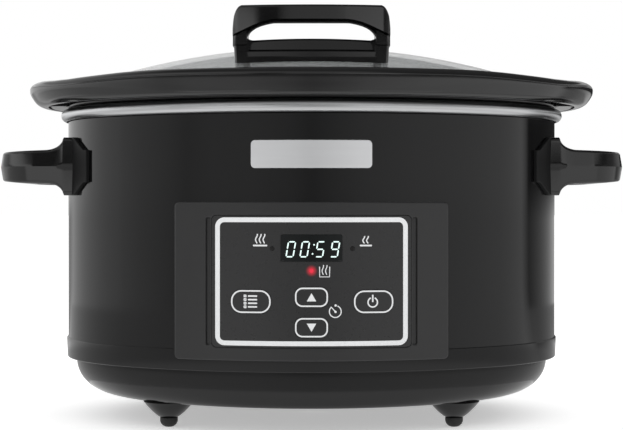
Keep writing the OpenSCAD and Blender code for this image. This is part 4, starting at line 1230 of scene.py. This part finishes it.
class COOKER_OT_lid(bpy.types.Operator):
    """Rim, seal and glass dome of the lid"""

    bl_idname = "cooker.lid"
    bl_label = "Lid"

    def execute(self, context):
        self.rim()
        self.seal()
        self.glass(context.scene.cooker_colours.glass)
        return {"FINISHED"}

    def outline(self, z):
        """Outline of the rim at a height: its ends draw in toward the underside."""
        share = max(0.0, 1 - (z - LID_LOW) / DRAW_H) ** 2
        return Oval(LID_W - RIM_TRIM - END_DRAW * share, LID_D)

    def rim(self):
        """Moulded rim with a groove for the glass and the seal."""
        outer = arc(-3, LID_LOW + 3, 3, 3, -90, 0, 10)
        outer += [(0.0, LID_LOW + h) for h in (4.5, 6.0, 7.5, 9.0, 10.5)]
        outer += arc(-7, LID_TOP - SHOULDER_H, 7, SHOULDER_H, 0, 90, 16)
        section = [(self.outline(z), d, z) for d, z in [(-5.5, LID_LOW)] + outer]
        shoulder = len(section)
        section += [(DOME, 3.0, LID_TOP), (DOME, 3.0, LID_TOP + 0.4)]
        section += [(DOME, d, z) for d, z in arc(2.2, LID_TOP + 0.4, 0.8, 0.8, 0, 90, 4)]
        section += [(DOME, 0.5, LID_TOP + RIM_LIP), (DOME, 0.5, LID_TOP - 10.4),
                    (DOME, -7, LID_TOP - 10.4), (DOME, -7, LID_TOP - 12.9),
                    (DOME, 3, LID_TOP - 12.9), (DOME, 3, LID_TOP - 3),
                    (LID, -8, LID_TOP - 3), (LID, -5.5, LID_TOP - 5)]
        rim = Shape()
        rim.sweep(LID, section)
        drop_from, drop_over = 6, 7
        for i, (x, y, z) in enumerate(rim.verts):
            share = min(1.0, max(0.0, (z - LID_LOW - drop_from) / drop_over))
            if i % len(section) < shoulder:
                rim.verts[i] = (x, y, z - polyline(RIM_DROP, abs(x)) * share)
        rim.finish("lid_rim", rim_plastic(), "lid", "lid_frame")

    def seal(self):
        """Silicone ring under the edge of the glass."""
        seal = Shape()
        seal.sweep(DOME, [(-6.5, LID_TOP - 10.3), (-6.5, LID_TOP - 5.0), (-1.0, LID_TOP - 6.4),
                          (0.4, LID_TOP - 6.6), (0.4, LID_TOP - 10.3)])
        rubber = surface("grey_silicone", (0.30, 0.31, 0.31), 0.45, grain=900, bump=6e-6)
        seal.finish("silicone_seal", rubber, "lid", "lid_seal")

    def glass(self, tint):
        """Dome of even thickness, with a half-round edge."""
        glass = Shape()
        for sunk in (0.0, GLASS_T):
            glass.disc(DOME, GLASS_EDGE, lambda x, y: dome_height(x, y, sunk), up=not sunk,
                       rings=GLASS_RINGS)
        steps = 8
        rows = []
        for angle in ring_angles():
            row = []
            for k in range(steps + 1):
                turn = math.pi * k / steps
                x, y = DOME.at(angle, GLASS_EDGE + math.sin(turn))
                px, py = DOME.at(angle, GLASS_EDGE)
                share = (1 - math.cos(turn)) / 2
                z = dome_height(px, py) * (1 - share) + dome_height(px, py, GLASS_T) * share
                row.append((x, y, z))
            rows.append(row)
        glass.grid(rows, closed_rows=True, closed_cols=False)
        glass.finish("glass_dome", clear_glass("tinted_glass", tint, 0.02, 240.0), "lid",
                     "lid_glass", sharp=40)


# ------------------------------------------------------------------ lid handle

GRIP_FRONT = -97.0
GRIP_MID = -80.0
GRIP_BACK = -60.5
GRIP_TOP = 270.8
SEAM_Z = low_of("lid_handle_grip")  # where the grip meets the base
OPEN_HALF = 41.2    # half width of the opening under the grip
HUMP_HALF = 41.4    # half width of the base's hump, which ends inside the legs
HUMP_BACK = -62.0

# Front of the handle: (distance from its middle, height) of the crease, the arch and the roof
CREASE_LINE = [(0, 261.5), (22.5, 261.5), (27, 261.0), (32, 259.8), (37, 257.9), (41.5, 255.9),
               (46, 253.8), (50, 252.2)]
ARCH_LINE = [(0, 259.2), (21, 259.2), (24.7, 258.9), (28.8, 258.1), (32.4, 257.1), (35.5, 255.8),
             (38, 254.2), (39.9, 252.4), (41, 250.4)]
ROOF_LINE = [(0, GRIP_TOP), (44.8, GRIP_TOP), (46.4, 270.0), (47.7, 268.6), (48.7, 266.8),
             (49.6, 264.2), (50.1, 261.0), (50.4, 257.0)]
# Half width of the handle by height
SIDE_LINE = [(231, 49.0), (245, 49.7), (257, 50.4), (271, 50.4)]
# Front of a leg below the crease: (drop, depth behind the crease)
LEG_LINE = [(0, 0.0), (0.8, 2.9), (1.3, 3.2), (24.0, 3.2)]


class COOKER_OT_lid_handle(bpy.types.Operator):
    """Two-part lid handle: a base on the glass and the arched grip"""

    bl_idname = "cooker.lid_handle"
    bl_label = "Lid handle"

    def execute(self, context):
        self.grip()
        self.base()
        return {"FINISHED"}

    def bow(self, x):
        """Plan curve of the front, with its rounded ends."""
        bow_r, end_r, round_from = 260, 4, 46.2
        end = min(end_r - CLEAR, max(0.0, abs(x) - round_from))
        return bow_r + end_r - math.sqrt(bow_r ** 2 - x * x) - math.sqrt(end_r ** 2 - end * end)

    def grip(self):
        """Arch lofted across x. Every section runs from the crease over the top to the back."""
        legs = [50.4, 50.1, 49.6, 48.9, 48.0, 47.1, 46.2, 44.8, 43.2, 42.0, 41.4]
        arch = [41, 40.6, 39.9, 38.9, 38, 36.8, 35.5, 33.9, 32.4, 30.6, 28.8, 26.7, 24.7, 23, 21,
                14, 7]
        half = legs + arch
        shape = Shape()
        shape.loft([self.grip_section(x) for x in [-v for v in half] + [0] + half[::-1]])
        shape.finish("arched_grip", gloss_plastic(), "lid", "lid_handle_grip", sharp=24,
                     weighted=True)

    def grip_section(self, x):
        """Section of the grip at x, down to the arch over the opening or to the seam over a leg."""
        wide = abs(x)
        lean, top_r, back_r = 0.055, 1.6, 8
        roof = polyline(ROOF_LINE, wide)
        crease = min(polyline(CREASE_LINE, wide), roof - 1.5)
        front = GRIP_FRONT + self.bow(x)
        top_y = front + lean * (roof - crease)
        row = [(front, crease)]
        row += arc(top_y + top_r, roof - top_r, top_r, top_r, 180, 90, 5)
        row += [(GRIP_MID, roof)]
        row += arc(GRIP_BACK - back_r, roof - back_r, back_r, back_r, 90, 0, 6)
        if wide < OPEN_HALF:
            floor = polyline(ARCH_LINE, wide)
            rear = min(floor + 3.6, roof - 8.5)
            row += [(GRIP_BACK, max(rear + 2.5, roof - 9))]
            row += arc(GRIP_BACK - 2, rear + 2, 2, 2, 0, -90, 3)
            row += [(GRIP_MID, floor + 1.9), (front + 5.2, floor + 0.25), (front + 4.0, floor)]
            row += [(front + 3.7, floor + 0.35 * (crease - floor)), (front + 1.2, crease - 0.8)]
        else:
            foot = front + polyline(LEG_LINE, crease - SEAM_Z)
            row += [(GRIP_BACK, roof - 9)]
            row += arc(GRIP_BACK - 1, SEAM_Z + 0.6, 1, 0.6, 0, -90, 3)
            row += [(GRIP_MID, SEAM_Z), (foot + 1.0, SEAM_Z), (foot, SEAM_Z + 0.4)]
            row += [(front + polyline(LEG_LINE, v), crease - v) for v in (1.3, 0.8)]
        return [(x, y, z) for y, z in row]

    def base(self):
        """Two legs joined by a hump over the glass."""
        shape = Shape()
        for side in (-1, 1):
            self.leg(shape, side)
        steps = 54
        shape.loft([self.hump_section(HUMP_HALF * (2 * k / steps - 1)) for k in range(steps + 1)])
        shape.finish("handle_foot", gloss_plastic(), "lid", "lid_handle_base", sharp=24,
                     weighted=True)

    def leg(self, shape, side):
        """Leg from the glass up to the seam."""
        low = dome_height(50, -94) - 0.5
        high = SEAM_Z - CLEAR
        crease = polyline(CREASE_LINE, 45)
        steps = 16
        rows = []
        for k in range(steps + 1):
            z = low + (high - low) * k / steps
            half = polyline(SIDE_LINE, z)
            inner = 39.6 + 0.6 * (z - low) / 14
            front = GRIP_FRONT + polyline(LEG_LINE, crease - z)
            outline = []
            for x, y in rounded_loop(half - inner, GRIP_BACK - front, 1.6, (half + inner) / 2,
                                     (front + GRIP_BACK) / 2, 4):
                if y < GRIP_MID:
                    y += self.bow(x)
                outline.append((side * x, y, max(z, dome_height(x, y) + CLEAR)))
            rows.append(outline)
        shape.loft(rows)

    def hump_section(self, x):
        """Section of the hump at x, with its two steps at the front."""
        front = GRIP_FRONT + 2.9 + self.bow(x)
        rise = 250.2 - 0.9 * (x / 38) ** 2 + 0.1 * max(0, abs(x) - 37.2) ** 2
        row = [(front, dome_height(x, front) + CLEAR), (front + 0.03, 237.8),
               (front + 0.12, 238.1), (front + 0.7, 238.25), (front + 0.45, 240.9),
               (front + 0.8, 241.5), (front + 7.0, 242.0), (front + 7.8, 243.0),
               (front + 8.8, rise - 2.0)]
        row += arc(front + 10.6, rise - 1.8, 1.8, 1.8, 175, 90, 4)
        row += arc(HUMP_BACK - 4.5, rise - 3.0, 3.0, 3.0, 90, 0, 4)
        row += [(HUMP_BACK, dome_height(x, HUMP_BACK) + CLEAR)]
        return [(x, y, z) for y, z in row]


# ------------------------------------------------------------------ pieces kept from the frame

# Looks that several nodes share: colour, roughness, metal, grain, depth of the relief in metres
ZINC = ((0.60, 0.61, 0.62), 0.35, 1.0, 900, 6e-6)
HINGE_PLASTIC = ((0.007, 0.007, 0.007), 0.28, 0.0, 1800, 6e-6)

# Each node: the name of its material, then the same values
KEPT = {
    "heating_well": ("spun_aluminium", (0.60, 0.61, 0.62), 0.32, 1.0, 700, 4e-6),
    "heating_band": ("mica_band", (0.62, 0.52, 0.30), 0.5, 0.0, 500, 3e-5),
    "thermal_fuse": ("fuse_ceramic", (0.78, 0.75, 0.68), 0.6, 0.0, 1200, 1e-5),
    "temperature_sensor": ("sensor_cap", (0.55, 0.56, 0.57), 0.3, 1.0, 900, 4e-6),
    "centre_stud": ("zinc_stud", *ZINC),
    "centre_nut": ("zinc_nut", (0.55, 0.56, 0.57), 0.35, 1.0, 900, 6e-6),
    "side_handle_screws": ("zinc_screws", *ZINC),
    "display_module": ("white_case", (0.78, 0.79, 0.79), 0.5, 0.0, 900, 5e-6),
    "control_board": ("green_laminate", (0.03, 0.16, 0.07), 0.35, 0.0, 700, 4e-6),
    "tact_switches": ("switch_body", (0.03, 0.03, 0.03), 0.5, 0.0, 900, 5e-6),
    "board_screws": ("small_screws", *ZINC),
    "power_board": ("green_laminate_lower", (0.03, 0.17, 0.07), 0.35, 0.0, 700, 4e-6),
    "power_board_screws": ("small_screws_lower", *ZINC),
    "relay": ("relay_case", (0.05, 0.15, 0.40), 0.4, 0.0, 900, 4e-6),
    "transformer": ("varnished_coil", (0.20, 0.12, 0.04), 0.35, 0.0, 600, 3e-5),
    "terminal_block": ("terminal_plastic", (0.05, 0.22, 0.10), 0.45, 0.0, 900, 5e-6),
    "wiring_harness": ("red_wire_sleeve", (0.42, 0.05, 0.03), 0.45, 0.0, 900, 1e-5),
    "cord_gland": ("gland_rubber", (0.008, 0.008, 0.008), 0.4, 0.0, 1400, 1e-5),
    "hinge_socket": ("hinge_plastic", *HINGE_PLASTIC),
    "hinge_socket_screws": ("socket_screws", *ZINC),
    "hinge_block": ("hinge_block_plastic", *HINGE_PLASTIC),
    "hinge_pin": ("pin_steel", (0.66, 0.67, 0.68), 0.22, 1.0, 900, 3e-6),
    "lid_hinge_arm": ("hinge_arm_plastic", (0.010, 0.010, 0.010), 0.28, 0.0, 1800, 6e-6),
    "lid_hinge_screws": ("arm_screws", *ZINC),
    "lid_handle_screws": ("handle_screws", (0.62, 0.63, 0.64), 0.3, 1.0, 900, 6e-6),
}
SOFT_SHARE = 0.7    # rounding of these pieces as a share of the moulded edges' rounding
WELD_GAP = 1e-5     # distance, in metres, within which their points are merged
SOFTENED = ("hinge_socket", "hinge_block", "lid_hinge_arm", "cord_gland", "centre_nut")


class COOKER_OT_kept_pieces(bpy.types.Operator):
    """Materials of the inner pieces and the hinge, which keep the frame's meshes"""

    bl_idname = "cooker.kept_pieces"
    bl_label = "Inner pieces and hinge"

    def execute(self, context):
        for node, (name, colour, rough, metal, grain, bump) in KEPT.items():
            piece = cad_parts[node]
            look = surface(name, colour, rough, metal=metal, grain=grain, bump=bump)
            for holder in piece.material_slots:
                holder.material = look
            if not piece.material_slots:
                piece.data.materials.append(look)
        for node in SOFTENED:
            self.soften(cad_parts[node])
        return {"FINISHED"}

    def soften(self, piece):
        """Small rounded edges on a moulded piece."""
        weld = piece.modifiers.new("weld", "WELD")
        weld.merge_threshold = WELD_GAP
        flat = piece.modifiers.new("flat_faces", "DECIMATE")
        flat.decimate_type = "DISSOLVE"
        flat.angle_limit = math.radians(1.0)
        edge = piece.modifiers.new("edges", "BEVEL")
        edge.width = bpy.context.scene.cooker_sizes.edge_round * SOFT_SHARE
        edge.segments = 2
        edge.limit_method = "ANGLE"
        edge.angle_limit = math.radians(40)
        edge.harden_normals = True


# ------------------------------------------------------------------ stage

CAMERA_AT = (0.0, -1.136, 0.1415)
CAMERA_DIP = 0.2466     # degrees below level
LENS = 94.0
FLOOR_HALF = 30
FLOOR_LIFT = 0.42       # light that the floor adds where it is seen or mirrored
WALL_R = 2.2
SHEET_Z = 0.002         # height of the reflector's floor sheet
LOW_PART = 0.15         # below this height, BEHIND holds the brightness down

# Brightness of the reflector by direction, in degrees to the right of straight ahead. UNDER and
# PATCH lie on the floor sheet. LOW to UPPER follow one another up the wall. ROOF and TOP close it.
LOW = [(-160, 0.74), (-137, 0.9), (-121, 1.0), (-98, 0.84), (-82, 0.8), (-70, 0.62), (-58, 0.5),
       (-49, 0.38), (-38, 0.45), (-22, 0.44), (-8, 0.36), (0, 0.26), (8, 0.36), (20, 0.5),
       (40, 0.62), (60, 0.68), (75, 0.75), (98, 0.82), (102.5, 0.45), (106, 0.04), (165, 0.03)]
GAP = [(-160, 0.74), (-110, 0.5), (-70, 0.06), (70, 0.06), (110, 0.4), (160, 0.34)]
HIGH = [(-160, 0.9), (-60, 0.95), (-21, 0.85), (-19.5, 0.04), (-9.5, 0.04), (-8, 0.36),
        (8, 0.40), (11, 0.58), (28, 0.80), (31, 0.03), (140, 0.03), (143, 0.3), (160, 0.4)]
UPPER = [(-160, 0.95), (-92, 0.95), (-82, 0.08), (-9.5, 0.08), (-8, 0.36), (8, 0.40), (11, 0.60),
         (97, 0.66), (160, 0.7)]
ROOF = [(-160, 0.5), (-60, 0.6), (-20, 0.38), (0, 0.28), (20, 0.30), (34, 0.10), (160, 0.08)]
TOP = [(0, 0.11)]
BEHIND = [(-150, 0.36), (-140, 0.8), (140, 0.8), (146, 0.62)]
UNDER = [(-110, 0.56), (-60, 0.70), (-25, 0.68), (0, 0.6), (25, 0.68), (60, 0.72), (110, 0.56)]
PATCH = [(-160, 0.68), (-60, 0.46), (-46, 0.42), (-40, 0.76), (-16, 0.76), (-12, 0.36), (0, 0.24),
         (12, 0.36), (16, 0.7), (40, 0.7), (46, 0.58), (97, 0.75), (106, 0.40), (114, 0.33),
         (138, 0.33), (143, 0.28), (160, 0.31)]


def closed(zone):
    """The zone with both ends drawn together straight behind."""
    back = (zone[0][1] + zone[-1][1]) / 2
    return [(-180, back)] + zone + [(180, back)]


def wall_profile():
    """Profile of the stage from the cooker's foot to the roof: (radius, height, zone)."""
    rim = [(a, 1.35 * v if -110 < a < -50 else v) for a, v in LOW if a < 100]
    rim += [(116, 0.80), (127, 0.05), (160, 0.03)]
    lip = [(a, v + 0.16) for a, v in HIGH]
    base = [(a, 0.92 * (max(v, 0.2) if a > 100 else v)) for a, v in LOW if a < 140]
    base.append((146, 0.62))
    near = [(a, 0.36 + 0.2 * v) for a, v in base]

    sheet = [(0.18, UNDER), (0.39, UNDER), (0.42, near), (0.50, near), (0.56, base),
             (0.58, base), (0.62, PATCH), (1.30, PATCH), (1.36, base), (1.9, base)]
    bend = [(2.12, 0.06, base)]
    wall = [(0.12, base), (0.2, LOW), (0.33, LOW), (0.36, rim), (0.41, rim), (0.43, GAP),
            (0.60, GAP), (0.63, lip), (0.71, lip), (0.74, HIGH), (0.80, HIGH), (0.82, UPPER),
            (1.08, UPPER), (1.2, ROOF)]
    roof = [(2.1, 2.0, ROOF), (1.5, 2.9, TOP), (0.01, 3.3, TOP)]
    profile = [(radius, SHEET_Z, zone) for radius, zone in sheet] + bend
    profile += [(WALL_R, z, zone) for z, zone in wall] + roof
    return [(radius, z, closed(zone)) for radius, z, zone in profile]


class COOKER_OT_stage(bpy.types.Operator):
    """Pale floor, soft surroundings and the camera"""

    bl_idname = "cooker.stage"
    bl_label = "Stage"

    def execute(self, context):
        self.floor()
        self.surroundings()
        self.reflector()
        self.camera()
        return {"FINISHED"}

    def floor(self):
        """Pale floor that keeps the shadow and otherwise shows the white background."""
        mesh = bpy.data.meshes.new("studio_floor")
        h = FLOOR_HALF
        mesh.from_pydata([(-h, -h, 0), (h, -h, 0), (h, h, 0), (-h, h, 0)], [], [(0, 1, 2, 3)])
        material = bpy.data.materials.new("floor_paint")
        material.use_nodes = True
        nodes, links = material.node_tree.nodes, material.node_tree.links
        paint = nodes["Principled BSDF"]
        paint.inputs["Base Color"].default_value = (*bpy.context.scene.cooker_colours.floor, 1)
        paint.inputs["Roughness"].default_value = 0.9
        paint.inputs["Specular IOR Level"].default_value = 0.0
        seen = nodes.new("ShaderNodeLightPath")
        rays = seen.outputs["Is Camera Ray"]
        for kind in ("Is Glossy Ray", "Is Transmission Ray"):
            either = nodes.new("ShaderNodeMath")
            either.operation = "MAXIMUM"
            links.new(rays, either.inputs[0])
            links.new(seen.outputs[kind], either.inputs[1])
            rays = either.outputs[0]
        lift = nodes.new("ShaderNodeMath")
        lift.operation = "MULTIPLY"
        lift.inputs[1].default_value = FLOOR_LIFT
        links.new(rays, lift.inputs[0])
        paint.inputs["Emission Color"].default_value = (1, 1, 1, 1)
        links.new(lift.outputs[0], paint.inputs["Emission Strength"])
        mesh.materials.append(material)
        placed("studio_floor", mesh)

    def surroundings(self):
        """Even white surroundings at strength 1."""
        world = bpy.data.worlds.new("white_studio")
        world.use_nodes = True
        back = world.node_tree.nodes["Background"]
        back.inputs["Color"].default_value = (1, 1, 1, 1)
        back.inputs["Strength"].default_value = 1.0
        bpy.context.scene.world = world

    def reflector(self):
        """Curved wall, roof and floor sheet that only show in gloss, light and dark in turn."""
        profile = wall_profile()
        behind = closed(BEHIND)
        verts, faces, shades = [], [], []
        for angle in range(-180, 181):
            a = math.radians(angle)
            for radius, z, zone in profile:
                verts.append((radius * math.sin(a), -radius * math.cos(a), z))
                shade = polyline(zone, angle)
                shades.append(min(shade, polyline(behind, angle)) if z < LOW_PART else shade)
        n = len(profile)
        for i in range(360):
            for k in range(n - 1):
                faces.append((i * n + k, (i + 1) * n + k, (i + 1) * n + k + 1, i * n + k + 1))
        mesh = bpy.data.meshes.new("studio_wall")
        mesh.from_pydata(verts, [], faces)
        mesh.attributes.new("level", "FLOAT", "POINT").data.foreach_set("value", shades)
        mesh.materials.append(self.wall_light())
        wall = placed("studio_wall", mesh)
        wall.visible_camera = False
        wall.visible_diffuse = False
        wall.visible_transmission = False
        wall.visible_shadow = False

    def wall_light(self):
        """Light whose strength is stored on the wall's mesh."""
        material = bpy.data.materials.new("wall_light")
        material.use_nodes = True
        nodes, links = material.node_tree.nodes, material.node_tree.links
        nodes.remove(nodes["Principled BSDF"])
        strength = nodes.new("ShaderNodeAttribute")
        strength.attribute_name = "level"
        light = nodes.new("ShaderNodeEmission")
        links.new(strength.outputs["Fac"], light.inputs["Strength"])
        links.new(light.outputs["Emission"], nodes["Material Output"].inputs["Surface"])
        return material

    def camera(self):
        """Camera in front of the cooker, nearly level with the key panel's top."""
        data = bpy.data.cameras.new("camera")
        data.lens = LENS
        data.sensor_width = 36.0
        data.clip_end = 100
        camera = placed("camera", data)
        camera.location = CAMERA_AT
        camera.rotation_euler = (math.radians(90 - CAMERA_DIP), 0, 0)
        bpy.context.scene.camera = camera
        bpy.context.scene.view_settings.view_transform = "Standard"


OPERATORS = (
    COOKER_OT_housing, COOKER_OT_feet, COOKER_OT_side_handles, COOKER_OT_key_panel,
    COOKER_OT_keys, COOKER_OT_prints, COOKER_OT_badge, COOKER_OT_crock, COOKER_OT_lid,
    COOKER_OT_lid_handle, COOKER_OT_kept_pieces, COOKER_OT_stage,
)


class COOKER_PT_panel(bpy.types.Panel):
    """Sidebar panel with the settings and one button per operator"""

    bl_idname = "COOKER_PT_panel"
    bl_label = "Slow Cooker"
    bl_space_type = "VIEW_3D"
    bl_region_type = "UI"
    bl_category = "Cooker"

    def draw(self, context):
        for group in (context.scene.cooker_sizes, context.scene.cooker_colours):
            box = self.layout.box()
            for name in group.__annotations__:
                box.prop(group, name)
        for operator in OPERATORS:
            self.layout.operator(operator.bl_idname)


CLASSES = (CookerSizes, CookerColours, *OPERATORS, COOKER_PT_panel)


def register():
    for item in CLASSES:
        bpy.utils.register_class(item)
    bpy.types.Scene.cooker_sizes = PointerProperty(type=CookerSizes)
    bpy.types.Scene.cooker_colours = PointerProperty(type=CookerColours)


def unregister():
    del bpy.types.Scene.cooker_colours
    del bpy.types.Scene.cooker_sizes
    for item in reversed(CLASSES):
        bpy.utils.unregister_class(item)


def main():
    register()
    for operator in OPERATORS:
        group, name = operator.bl_idname.split(".")
        getattr(getattr(bpy.ops, group), name)()


if __name__ == "__main__":
    main()
